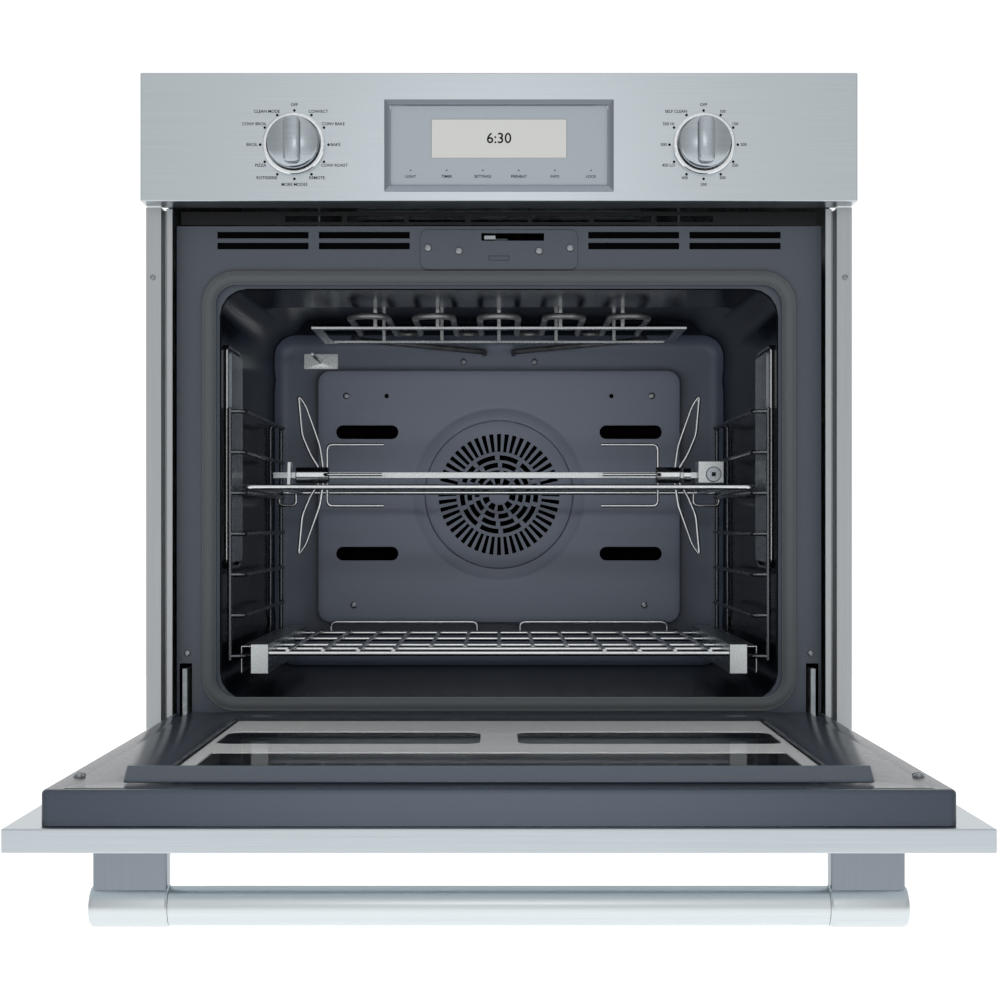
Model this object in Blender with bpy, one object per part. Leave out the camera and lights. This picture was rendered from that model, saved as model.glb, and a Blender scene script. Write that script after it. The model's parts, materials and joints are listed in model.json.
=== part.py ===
"""A built-in wall oven with a drop-down door, a sliding rack, a rotisserie and a convection fan.

Metres, +Z up. The origin is the middle of the base pan's underside, which rests on the cabinet's shelf.
Every piece hangs on the empty oven_front, so x is measured from the middle, y from the front face
backwards and z from the shelf up. The door's pieces hang on door_hinge and are drawn as on a closed door:
x from the middle, y from the hinge axis towards the cavity and z up the door. The door is left open.
"""

import math

import bmesh
import bpy
from mathutils import Matrix, Vector

# Driving dimensions
GAP = 0.0003  # between pieces that touch
SHEET = 0.0015
WIDTH = 0.7557
HEIGHT = 0.737
HALF = WIDTH / 2

# Chassis
CHASSIS_FRONT = 0.054
CHASSIS_BACK = 0.600
CHASSIS_HALF = 0.3583
CHASSIS_TOP = 0.708
PAN_FRONT = 0.066
FRONT_Y = -(PAN_FRONT + CHASSIS_BACK) / 2

# Control panel
PANEL_BOTTOM = 0.6014
PANEL_DEPTH = 0.040
KNOB_X = 0.2155
KNOB_Z = 0.661
DISPLAY_HALF = 0.1208
DISPLAY_LOW = 0.6116
DISPLAY_HIGH = 0.7085
SCREEN_HALF = 0.0714
SCREEN_LOW = 0.6470
SCREEN_HIGH = 0.6881

# Front frame and gasket
FRAME_Y = 0.062
FRAME_HALF = 0.3505
FRAME_LOW = 0.0245
FRAME_HIGH = 0.5855
LATCH_Z = 0.5736
TRIM_Y = 0.031
TRIM_LOW = 0.036

# Cavity
CAVITY_HALF = 0.3037
CAVITY_FLOOR = 0.0704
CAVITY_CEILING = 0.5174
CAVITY_BACK = 0.5377
CAVITY_RADIUS = 0.030
RECESS_HALF = 0.262
RECESS_FRONT = 0.236
RECESS_HEIGHT = 0.015
FAN_Z = 0.3012
COVER_HALF = 0.243
COVER_LOW = 0.1291
COVER_HIGH = 0.4677
COVER_FRONT = 0.505
LENS_FRONT = 0.1025
LENS_BACK = 0.1865
LENS_LOW = 0.219
LENS_HIGH = 0.453
SENSOR_X = -0.2416
SENSOR_Z = 0.4812
COUPLING_X = 0.260

# Rack supports, rack and rotisserie
RUNG_PITCH = 0.0452
RUNG_LOW = 0.115
RUNG_COUNT = 7
RUNG_X = 0.281
WIRE = 0.0026
POST_X = 0.298
POST_Y = 0.095
REAR_Y = 0.462
RACK_Z = 0.121
RACK_PITCH = 0.0391
RACK_WIRES = 13
RACK_CROSS_Y = (0.104, 0.172, 0.238, 0.358, 0.480)
CHANNEL_IN = 0.2560
CHANNEL_OUT = 0.2755
CHANNEL_LOW = 0.0954
CHANNEL_HIGH = 0.128
CHANNEL_FRONT = 0.100
CHANNEL_BACK = 0.485
SPIT_Y = 0.322
SPIT_Z = 0.3217
SPIT_SIDE = 0.008
SPIT_WING = ((0.2210, 0.007), (0.2328, 0.026), (0.2430, 0.050), (0.2475, 0.099), (0.2385, 0.086),
             (0.2212, 0.037), (0.2168, 0.007))
CRADLE_Z = 0.3025
CRADLE_HALF = 0.288
CRADLE_FRONT = 0.104
CRADLE_BACK = 0.450

# Door
HINGE_Y = 0.030
HINGE_Z = 0.0414
DOOR_LOW = -0.020
DOOR_HIGH = 0.556
SKIN_DEPTH = 0.0189
LINER_HALF = 0.3505
LINER_HIGH = 0.5475
LINER_FACE = 0.017
GLASS_HALF = 0.277
GLASS_LOW = 0.022
GLASS_HIGH = 0.490
WINDOW_HALF = 0.255
WINDOW_LOW = 0.135
WINDOW_HIGH = 0.395
HANDLE_OUT = 0.080
HANDLE_H = 0.506
HANDLE_RADIUS = 0.0155

COLOURS = {
    "stainless": ((0.60, 0.64, 0.67), 0.32, 1.0),
    "chrome": ((0.80, 0.82, 0.84), 0.10, 1.0),
    "zinc_steel": ((0.50, 0.52, 0.53), 0.45, 1.0),
    "enamel": ((0.045, 0.060, 0.080), 0.15, 0.0),
    "black_steel": ((0.03, 0.03, 0.035), 0.40, 0.5),
    "glass": ((0.10, 0.12, 0.13), 0.05, 0.0),
    "display": ((0.16, 0.18, 0.20), 0.20, 0.0),
    "screen": ((0.80, 0.80, 0.76), 0.40, 0.0),
    "gasket": ((0.16, 0.18, 0.18), 0.80, 0.0),
    "element": ((0.12, 0.12, 0.13), 0.50, 0.8),
    "wool": ((0.75, 0.70, 0.55), 0.95, 0.0),
    "board": ((0.05, 0.22, 0.10), 0.50, 0.0),
}


def clear_scene():
    for obj in list(bpy.data.objects):
        bpy.data.objects.remove(obj)


def material(name):
    if name in bpy.data.materials:
        return bpy.data.materials[name]
    made = bpy.data.materials.new(name)
    made.use_nodes = True
    colour, roughness, metallic = COLOURS[name]
    shader = made.node_tree.nodes["Principled BSDF"]
    shader.inputs["Base Color"].default_value = (*colour, 1.0)
    shader.inputs["Roughness"].default_value = roughness
    shader.inputs["Metallic"].default_value = metallic
    return made


def empty(name, place, parent=None):
    made = bpy.data.objects.new(name, None)
    made.location = place
    made.parent = parent
    bpy.context.scene.collection.objects.link(made)
    return made


# Shapes, each a bmesh of one or more closed shells


def shell(rings, closed=False):
    """Skins a list of rings of points, each ring a closed loop, and caps the two ends unless closed."""
    bm = bmesh.new()
    loops = [[bm.verts.new(point) for point in ring] for ring in rings]
    count = len(loops[0])
    pairs = list(zip(loops, loops[1:]))
    if closed:
        pairs.append((loops[-1], loops[0]))
    for low, high in pairs:
        for i in range(count):
            j = (i + 1) % count
            bm.faces.new((low[i], low[j], high[j], high[i]))
    if not closed:
        bm.faces.new(loops[0])
        bm.faces.new(loops[-1])
    bmesh.ops.recalc_face_normals(bm, faces=bm.faces)
    return bm


def to_space(a, b, along, axis):
    """A point of a section (a, b) at a place along an axis, with a and b in the order x, y, z."""
    return {"x": (along, a, b), "y": (a, along, b), "z": (a, b, along)}[axis]


def prism(outline, low, high, axis):
    return shell([[to_space(a, b, at, axis) for a, b in outline] for at in (low, high)])


def block(low, high):
    outline = [(low[0], low[1]), (high[0], low[1]), (high[0], high[1]), (low[0], high[1])]
    return prism(outline, low[2], high[2], "z")


def frame_prism(outer, inner, low, high, axis):
    """A prism with a hole right through it. Both outlines have the same number of points."""
    rings = [(outer, low), (outer, high), (inner, high), (inner, low)]
    return shell([[to_space(a, b, at, axis) for a, b in line] for line, at in rings], closed=True)


def rectangle(a0, b0, a1, b1, radius=0.0, steps=4):
    """The outline of a rectangle, with round corners where a radius is given."""
    if radius == 0:
        return [(a0, b0), (a1, b0), (a1, b1), (a0, b1)]
    corners = [
        (a1 - radius, b0 + radius, -90),
        (a1 - radius, b1 - radius, 0),
        (a0 + radius, b1 - radius, 90),
        (a0 + radius, b0 + radius, 180),
    ]
    points = []
    for ca, cb, start in corners:
        for step in range(steps + 1):
            angle = math.radians(start + 90 * step / steps)
            points.append((ca + radius * math.cos(angle), cb + radius * math.sin(angle)))
    return points


def circle(a, b, radius, sides=16):
    turns = [2 * math.pi * i / sides for i in range(sides)]
    return [(a + radius * math.cos(t), b + radius * math.sin(t)) for t in turns]


def turned(profile, centre, axis, sides=24):
    """A turned shape: profile holds (radius, place along the axis), centre is where the axis crosses."""
    a, b = centre
    return shell([[to_space(*p, at, axis) for p in circle(a, b, r, sides)] for r, at in profile])


def wire(points, radius, sides=6, closed=False):
    """A round wire along a polyline, mitred at its corners."""
    points = [Vector(p) for p in points]
    count = len(points)
    ways = [(points[(i + 1) % count] - points[i]).normalized() for i in range(count)]
    if not closed:
        ways[-1] = ways[-2]
    side = ways[-1 if closed else 0].orthogonal().normalized()
    other = ways[-1 if closed else 0].cross(side)
    turns = [2 * math.pi * i / sides for i in range(sides)]
    offsets = [radius * (math.cos(t) * side + math.sin(t) * other) for t in turns]
    rings = []
    for i, point in enumerate(points):
        come = ways[i - 1] if i or closed else ways[0]
        leave = ways[i]
        middle = (come + leave).normalized()
        offsets = [o - come * (o.dot(middle) / come.dot(middle)) for o in offsets]
        rings.append([point + o for o in offsets])
        offsets = [o - leave * o.dot(leave) for o in offsets]
    return shell(rings, closed)


def together(*shapes):
    """Several shapes in one bmesh, which then holds separate shells."""
    whole = bmesh.new()
    for shape in shapes:
        mesh = bpy.data.meshes.new("part_of_it")
        shape.to_mesh(mesh)
        whole.from_mesh(mesh)
        bpy.data.meshes.remove(mesh)
        shape.free()
    return whole


# Objects


def piece(name, shape, finish, parent, origin=(0, 0, 0), smooth=False):
    """An object with its own origin, whose shape is given in its parent's coordinates."""
    bmesh.ops.translate(shape, verts=shape.verts, vec=-Vector(origin))
    mesh = bpy.data.meshes.new(name)
    shape.to_mesh(mesh)
    shape.free()
    mesh.materials.append(material(finish))
    if smooth:
        mesh.shade_smooth()
        mesh.set_sharp_from_angle(angle=math.radians(40))
    made = bpy.data.objects.new(name, mesh)
    made.parent = parent
    made.location = origin
    bpy.context.scene.collection.objects.link(made)
    return made


def combine(target, shape, operation):
    """Cuts a shape from an object, or joins it on, with a Boolean modifier."""
    tool = piece(f"{target.name}_{operation.lower()}_{len(target.modifiers)}", shape,
                 target.data.materials[0].name, target.parent)
    tool.hide_render = True
    tool.display_type = "WIRE"
    boolean = target.modifiers.new(operation.title(), "BOOLEAN")
    boolean.operation = operation
    boolean.object = tool
    return target


def cut(target, *shapes):
    return combine(target, together(*shapes), "DIFFERENCE")


def weld(target, *shapes):
    return combine(target, together(*shapes), "UNION")


def mirrored(sign, low, high):
    """The two corners of a box on one side of the middle, from its corners on the right."""
    xs = sorted((sign * low[0], sign * high[0]))
    return (xs[0], *low[1:]), (xs[1], *high[1:])


# Sub-parts


def chassis(oven):
    inner = CHASSIS_HALF - SHEET - GAP
    pan = [
        (PAN_FRONT, 0),
        (CHASSIS_BACK, 0),
        (CHASSIS_BACK, 0.020),
        (CHASSIS_BACK - SHEET, 0.020),
        (CHASSIS_BACK - SHEET, SHEET),
        (PAN_FRONT + SHEET, SHEET),
        (PAN_FRONT + SHEET, 0.024),
        (PAN_FRONT, 0.024),
    ]
    piece("base_pan", prism(pan, -inner, inner, "x"), "zinc_steel", oven)
    top = block((-inner, PANEL_DEPTH + GAP, CHASSIS_TOP - SHEET), (inner, CHASSIS_BACK, CHASSIS_TOP))
    piece("top_cover", top, "zinc_steel", oven)
    for side, sign in (("left", -1), ("right", 1)):
        low, high = mirrored(sign, (CHASSIS_HALF - SHEET, CHASSIS_FRONT, 0),
                             (CHASSIS_HALF, CHASSIS_BACK, CHASSIS_TOP))
        piece(f"{side}_side_panel", block(low, high), "zinc_steel", oven)
    back = block((-CHASSIS_HALF, CHASSIS_BACK + GAP, 0),
                 (CHASSIS_HALF, CHASSIS_BACK + GAP + SHEET, CHASSIS_TOP))
    panel = piece("back_panel", back, "zinc_steel", oven)
    conduit = turned([(0.011, 0.59), (0.011, 0.61)], (-0.28, 0.62), "y", 16)
    grille = [block((x, 0.59, 0.60), (x + 0.008, 0.61, 0.66)) for x in (0.20, 0.22, 0.24, 0.26)]
    cut(panel, conduit, *grille)


def trims(oven):
    """The stainless side strips that cover the cabinet's edge, folded from sheet with a shadow groove."""
    t = SHEET
    profile = [
        (HALF, TRIM_Y),
        (0.3616, TRIM_Y),
        (0.3616, 0.052),
        (0.3577, 0.052),
        (0.3577, 0.040),
        (0.3512, 0.040),
        (0.3512, 0.040 + t),
        (0.3577 - t, 0.040 + t),
        (0.3577 - t, 0.052 + t),
        (0.3616 + t, 0.052 + t),
        (0.3616 + t, TRIM_Y + t),
        (HALF, TRIM_Y + t),
    ]
    for side, sign in (("left", -1), ("right", 1)):
        outline = [(sign * x, y) for x, y in profile]
        strip = piece(f"{side}_trim", prism(outline, TRIM_LOW, 0.6005, "z"), "stainless", oven)
        cut(strip, turned([(0.0025, 0.02), (0.0025, 0.04)], (sign * 0.3706, 0.5256), "y", 12))


def control_panel(oven):
    fascia = piece("control_panel", block((-HALF, 0, PANEL_BOTTOM), (HALF, PANEL_DEPTH, HEIGHT)),
                   "stainless", oven)
    hollow = block((-HALF + SHEET, SHEET, PANEL_BOTTOM + SHEET), (HALF - SHEET, 0.1, HEIGHT - SHEET))
    cut(fascia, hollow)
    rim = 0.006
    window = block((-DISPLAY_HALF + rim, -0.01, DISPLAY_LOW + rim),
                   (DISPLAY_HALF - rim, 0.01, DISPLAY_HIGH - rim))
    shafts = [turned([(0.006, -0.01), (0.006, 0.01)], (s * KNOB_X, KNOB_Z), "y", 12) for s in (-1, 1)]
    cut(fascia, window, *shafts)

    outer = rectangle(-DISPLAY_HALF, DISPLAY_LOW, DISPLAY_HALF, DISPLAY_HIGH)
    inner = rectangle(-DISPLAY_HALF + rim, DISPLAY_LOW + rim, DISPLAY_HALF - rim, DISPLAY_HIGH - rim)
    piece("display_frame", frame_prism(outer, inner, -0.0028, -GAP, "y"), "stainless", oven)
    edge = rim + GAP
    outer = rectangle(-DISPLAY_HALF + edge, DISPLAY_LOW + edge, DISPLAY_HALF - edge, DISPLAY_HIGH - edge)
    inner = rectangle(-SCREEN_HALF, SCREEN_LOW, SCREEN_HALF, SCREEN_HIGH)
    piece("display_glass", frame_prism(outer, inner, GAP, 0.0033, "y"), "display", oven)
    screen = block((-SCREEN_HALF + GAP, 0.0006, SCREEN_LOW + GAP),
                   (SCREEN_HALF - GAP, 0.0033, SCREEN_HIGH - GAP))
    piece("display_screen", screen, "screen", oven)
    piece("control_board", block((-0.10, 0.012, 0.612), (0.10, 0.028, 0.710)), "board", oven)


def knob(name, sign, oven):
    """A round knob with a raised grip bar and its shaft, inside a fixed chrome ring."""
    side = "left" if sign < 0 else "right"
    centre = (sign * KNOB_X, KNOB_Z)
    ring = frame_prism(circle(*centre, 0.0325, 24), circle(*centre, 0.0284, 24), -0.008, -GAP, "y")
    piece(f"{side}_knob_ring", ring, "chrome", oven, smooth=True)
    turn = empty(f"{name}_axis", (centre[0], 0, centre[1]), oven)
    disc = [(0.003, 0.010), (0.003, -0.004), (0.0272, -0.004), (0.0272, -0.017), (0.0255, -0.020)]
    made = piece(name, turned(disc, (0, 0), "y"), "stainless", turn, smooth=True)
    bar = rectangle(-0.0089, -0.0262, 0.0089, 0.0262, 0.006, 3)
    weld(made, prism(bar, -0.018, -0.038, "y"))


def front_frame(oven):
    plate = block((-FRAME_HALF, FRAME_Y, FRAME_LOW), (FRAME_HALF, FRAME_Y + SHEET, FRAME_HIGH))
    frame = piece("front_frame", plate, "enamel", oven)
    mouth = rectangle(-CAVITY_HALF - GAP, CAVITY_FLOOR - GAP, CAVITY_HALF + GAP,
                      CAVITY_CEILING + GAP, CAVITY_RADIUS)
    cut(frame, prism(mouth, 0.05, 0.08, "y"))
    vents = []
    for low in (0.5604, 0.5722):
        for start, stop in ((0.0971, 0.1960), (0.2072, 0.3064)):
            for sign in (-1, 1):
                vents.append(block(*mirrored(sign, (start, 0.05, low), (stop, 0.08, low + 0.0072))))
    arms = [block(*mirrored(s, (0.334, 0.05, 0.044), (0.3475, 0.08, 0.110))) for s in (-1, 1)]
    latch = block((-0.024, 0.05, 0.5675), (0.052, 0.08, 0.5795))
    cut(frame, latch, *vents, *arms)

    outlet = block((-0.345, 0.058, FRAME_HIGH + 0.0007), (0.345, 0.058 + SHEET, 0.6008))
    vent = piece("vent_outlet", outlet, "black_steel", oven)
    pitch = 0.067
    slots = [block((pitch * i - 0.031, 0.05, 0.5895), (pitch * i + 0.031, 0.07, 0.5960))
             for i in range(-3, 4)]
    cut(vent, *slots)

    plate = prism(rectangle(-0.0855, 0.5380, 0.0855, 0.5815, 0.008, 3), 0.0597, 0.0617, "y")
    cover = piece("latch_cover", plate, "enamel", oven)
    cut(cover, block((-0.019, 0.05, 0.5696), (0.0488, 0.07, 0.5776)),
        block((-0.0113, 0.05, 0.5480), (0.0109, 0.07, 0.5532)))

    hook = block((-0.016, 0.0640, LATCH_Z - 0.002), (-0.004, 0.120, LATCH_Z + 0.002))
    latch = piece("latch_hook", hook, "zinc_steel", oven, origin=(-0.010, 0.064, LATCH_Z))
    weld(latch, block((-0.016, 0.110, LATCH_Z - 0.006), (0.010, 0.118, LATCH_Z + 0.006)))


def door_gasket(oven):
    """A bulb seal round the cavity's mouth, six-sided, swept round a rectangle with round corners."""
    front, back = 0.0477, FRAME_Y - GAP
    sizes = [(0, back), (0, front + 0.004), (0.003, front), (0.009, front), (0.012, front + 0.004),
             (0.012, back)]
    rings = []
    for inset, at in sizes:
        low = 0.0595 + inset * 0.8
        line = rectangle(-0.3215 + inset, low, 0.3215 - inset, 0.5355 - inset, 0.036 - inset, 5)
        rings.append([(x, at, z) for x, z in line])
    piece("door_gasket", shell(rings, closed=True), "gasket", oven, smooth=True)


def cavity(oven):
    front, wall = FRAME_Y + SHEET + GAP, SHEET
    out = rectangle(-CAVITY_HALF - wall, CAVITY_FLOOR - wall, CAVITY_HALF + wall,
                    CAVITY_CEILING + wall, CAVITY_RADIUS + wall)
    liner = piece("cavity_liner", prism(out, front, CAVITY_BACK + wall, "y"), "enamel", oven)
    top = CAVITY_CEILING + RECESS_HEIGHT
    weld(liner, block((-RECESS_HALF - wall, RECESS_FRONT - wall, 0.50),
                      (RECESS_HALF + wall, CAVITY_BACK - 0.001, top + wall)))
    hollow = rectangle(-CAVITY_HALF, CAVITY_FLOOR, CAVITY_HALF, CAVITY_CEILING, CAVITY_RADIUS)
    cut(liner, prism(hollow, 0.0, CAVITY_BACK, "y"))
    cut(liner, block((-RECESS_HALF, RECESS_FRONT, 0.45), (RECESS_HALF, CAVITY_BACK - 0.003, top)))
    lamps = [block(*mirrored(s, (0.29, LENS_FRONT - GAP, LENS_LOW - GAP),
                             (0.32, LENS_BACK + GAP, LENS_HIGH + GAP))) for s in (-1, 1)]
    through = (0.53, 0.55)
    holes = [(0, FAN_Z, 0.012), (-0.020, 0.492, 0.006), (0.020, 0.492, 0.006),
             (-0.012, FAN_Z + 0.092, 0.006), (0.012, FAN_Z + 0.092, 0.006),
             (COUPLING_X, SPIT_Z, 0.010)]
    round_holes = [turned([(r, through[0]), (r, through[1])], (x, z), "y", 12) for x, z, r in holes]
    cut(liner, *lamps, *round_holes)

    for side, sign in (("left", -1), ("right", 1)):
        low, high = mirrored(sign, (0.2965, LENS_FRONT, LENS_LOW), (0.3060, LENS_BACK, LENS_HIGH))
        line = rectangle(low[1], low[2], high[1], high[2], 0.006, 3)
        piece(f"{side}_lamp_lens", prism(line, low[0], high[0], "x"), "glass", oven)

    outer = rectangle(-0.332, 0.022, 0.332, 0.565)
    inner = rectangle(-0.3065, 0.052, 0.3065, 0.536)
    piece("insulation", frame_prism(outer, inner, 0.0695, 0.540, "y"), "wool", oven)

    plate = block((-0.2639, 0.5347, 0.4714), (-0.2179, 0.5374, 0.4918))
    sensor = piece("temperature_sensor", plate, "stainless", oven)
    weld(sensor, turned([(0.0025, 0.430), (0.0025, 0.536)], (SENSOR_X, SENSOR_Z), "y", 8))


def fan_cover(oven):
    """The pressed back baffle: a shallow pan with a slotted grille before the fan and four side slots."""
    line = rectangle(-COVER_HALF, COVER_LOW, COVER_HALF, COVER_HIGH, 0.018, 3)
    cover = piece("fan_cover", prism(line, COVER_FRONT, CAVITY_BACK - GAP, "y"), "enamel", oven)
    e = SHEET
    line = rectangle(-COVER_HALF + e, COVER_LOW + e, COVER_HALF - e, COVER_HIGH - e, 0.0165, 3)
    cut(cover, prism(line, COVER_FRONT + e, 0.55, "y"))
    tools = []
    for sign in (-1, 1):
        for low in (0.2129, 0.3752):
            a, b = sorted((sign * 0.1345, sign * 0.2176))
            tools.append(prism(rectangle(a, low, b, low + 0.0184, 0.006, 2), 0.50, 0.51, "y"))
    for count, near, far, half in ((24, 0.057, 0.0803, 0.0022), (12, 0.030, 0.050, 0.0035)):
        for i in range(count):
            turn = Matrix.Rotation(2 * math.pi * i / count, 2)
            slot = [turn @ Vector(p) for p in rectangle(near, -half, far, half)]
            tools.append(prism([(x, z + FAN_Z) for x, z in slot], 0.50, 0.51, "y"))
    cut(cover, *tools)


def fan(oven):
    turn = empty("fan_axis", (0, 0.520, FAN_Z), oven)
    star = []
    for i in range(10):
        for r, step in ((0.022, 0), (0.072, 4), (0.072, 9), (0.024, 12)):
            angle = math.radians(36 * i + step)
            star.append((r * math.cos(angle), r * math.sin(angle)))
    impeller = piece("convection_fan", prism(star, -0.007, 0.007, "y"), "zinc_steel", turn)
    weld(impeller, turned([(0.004, -0.009), (0.004, 0.045)], (0, 0), "y", 12))
    motor = frame_prism(circle(0, FAN_Z, 0.042, 20), circle(0, FAN_Z, 0.0045, 20),
                        CAVITY_BACK + 0.008, 0.592, "y")
    piece("fan_motor", motor, "zinc_steel", oven, smooth=True)

    start = math.asin(0.012 / 0.092)
    angles = [start + (2 * math.pi - 2 * start) * i / 24 for i in range(25)]
    ring = [(-0.092 * math.sin(a), 0.522, FAN_Z + 0.092 * math.cos(a)) for a in angles]
    path = [(ring[0][0], 0.560, ring[0][2]), *ring, (ring[-1][0], 0.560, ring[-1][2])]
    piece("convection_element", wire(path, 0.0035), "element", oven, smooth=True)


def serpentine(loops, pitch, half, front, back, steps=4):
    """The middle line of a heating element: loops at the front, joined by narrower bends at the back."""
    points = []
    for i in range(loops):
        middle = pitch * (i - (loops - 1) / 2)
        for step in range(steps + 1):
            angle = math.pi * (1 - step / steps)
            points.append((middle + half * math.cos(angle), front + half * (1 - math.sin(angle))))
        if i < loops - 1:
            gap = pitch / 2 - half
            for step in range(steps + 1):
                angle = math.pi * (1 - step / steps)
                points.append((middle + pitch / 2 + gap * math.cos(angle), back + gap * math.sin(angle)))
    return points


def elements(oven):
    height = 0.504
    line = serpentine(5, 0.0766, 0.0225, 0.199, 0.385)
    path = [(x, y, height) for x, y in line]
    ends = [(0.1757, 0.395, height), (0.190, 0.425, 0.500), (0.020, 0.505, 0.492), (0.020, 0.556, 0.492)]
    path = [(-x, y, z) for x, y, z in reversed(ends)] + path + ends
    piece("broil_element", wire(path, 0.0038), "element", oven, smooth=True)
    outer = rectangle(-0.223, 0.239, 0.223, 0.412)
    inner = rectangle(-0.211, 0.251, 0.211, 0.400)
    piece("broil_frame", frame_prism(outer, inner, 0.493, 0.496, "z"), "stainless", oven)
    line = serpentine(3, 0.15, 0.0375, 0.15, 0.40)
    path = [(-0.1875, 0.50, 0.060), *[(x, y, 0.060) for x, y in line], (0.1875, 0.50, 0.060)]
    piece("bake_element", wire(path, 0.0038), "element", oven, smooth=True)


def rack_ladders(oven):
    """A wire ladder on each wall: a front post, a rear hoop and seven rungs that step in from the post."""
    top = RUNG_LOW + RUNG_PITCH * (RUNG_COUNT - 1)
    for side, sign in (("left", -1), ("right", 1)):
        low, high = RUNG_LOW - 0.004, top + 0.004
        post = wire([(sign * POST_X, POST_Y, low), (sign * POST_X, POST_Y, high)], WIRE)
        hoop = [(0.286, low), (0.286, high), (0.300, high), (0.300, low)]
        hoop = wire([(sign * x, REAR_Y, z) for x, z in hoop], WIRE)
        ladder = piece(f"{side}_rack_ladder", together(post, hoop), "chrome", oven, smooth=True)
        rungs = []
        for i in range(RUNG_COUNT):
            z = RUNG_LOW + RUNG_PITCH * i
            line = [(POST_X + 0.001, POST_Y), (RUNG_X + 0.003, POST_Y + 0.002),
                    (RUNG_X, POST_Y + 0.006), (RUNG_X, REAR_Y - 0.012), (0.286, REAR_Y + 0.001)]
            rungs.append(wire([(sign * x, y, z) for x, y in line], WIRE * 0.9))
        weld(ladder, *rungs)

        t = 0.0012
        hat = [(0.2758, 0.095), (0.2758, 0.125), (0.2890, 0.125), (0.2890, 0.095), (0.2890 - t, 0.095),
               (0.2890 - t, 0.125 - t), (0.2758 + t, 0.125 - t), (0.2758 + t, 0.095)]
        rail = prism([(sign * x, z) for x, z in hat], 0.120, 0.448, "y")
        piece(f"{side}_rack_rail", rail, "stainless", oven)


def rack(oven):
    slide = empty("rack_slide", (0, CHANNEL_FRONT, RACK_Z), oven)
    here = Vector((0, -CHANNEL_FRONT, -RACK_Z))
    cross_z = RACK_Z - 0.0032
    half = CHANNEL_IN - 0.0004
    cross = [wire([(-half, y, cross_z), (half, y, cross_z)], 0.003) for y in RACK_CROSS_Y]
    grid = together(*cross)
    bmesh.ops.translate(grid, verts=grid.verts, vec=here)
    grate = piece("oven_rack", grid, "chrome", slide, smooth=True)
    outermost = RACK_PITCH * (RACK_WIRES - 1) / 2
    xs = [RACK_PITCH * i - outermost for i in range(RACK_WIRES)]
    long = [wire([(x, CHANNEL_FRONT + 0.001, RACK_Z), (x, CHANNEL_BACK, RACK_Z)], 0.0022) for x in xs]
    wires = together(*long)
    bmesh.ops.translate(wires, verts=wires.verts, vec=here)
    weld(grate, wires)
    for side, sign in (("left", -1), ("right", 1)):
        low, high = mirrored(sign, (CHANNEL_IN, CHANNEL_FRONT, CHANNEL_LOW),
                             (CHANNEL_OUT, CHANNEL_BACK, CHANNEL_HIGH))
        e = 0.0015
        outer = rectangle(low[0], low[2], high[0], high[2])
        inner = rectangle(low[0] + e, low[2] + e, high[0] - e, high[2] - e)
        channel = prism(outer, low[1], high[1], "y")
        bmesh.ops.translate(channel, verts=channel.verts, vec=here)
        made = piece(f"{side}_rack_channel", channel, "stainless", slide)
        hollow = prism(inner, low[1] + e, high[1] + e, "y")
        bmesh.ops.translate(hollow, verts=hollow.verts, vec=here)
        cut(made, hollow)


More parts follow.
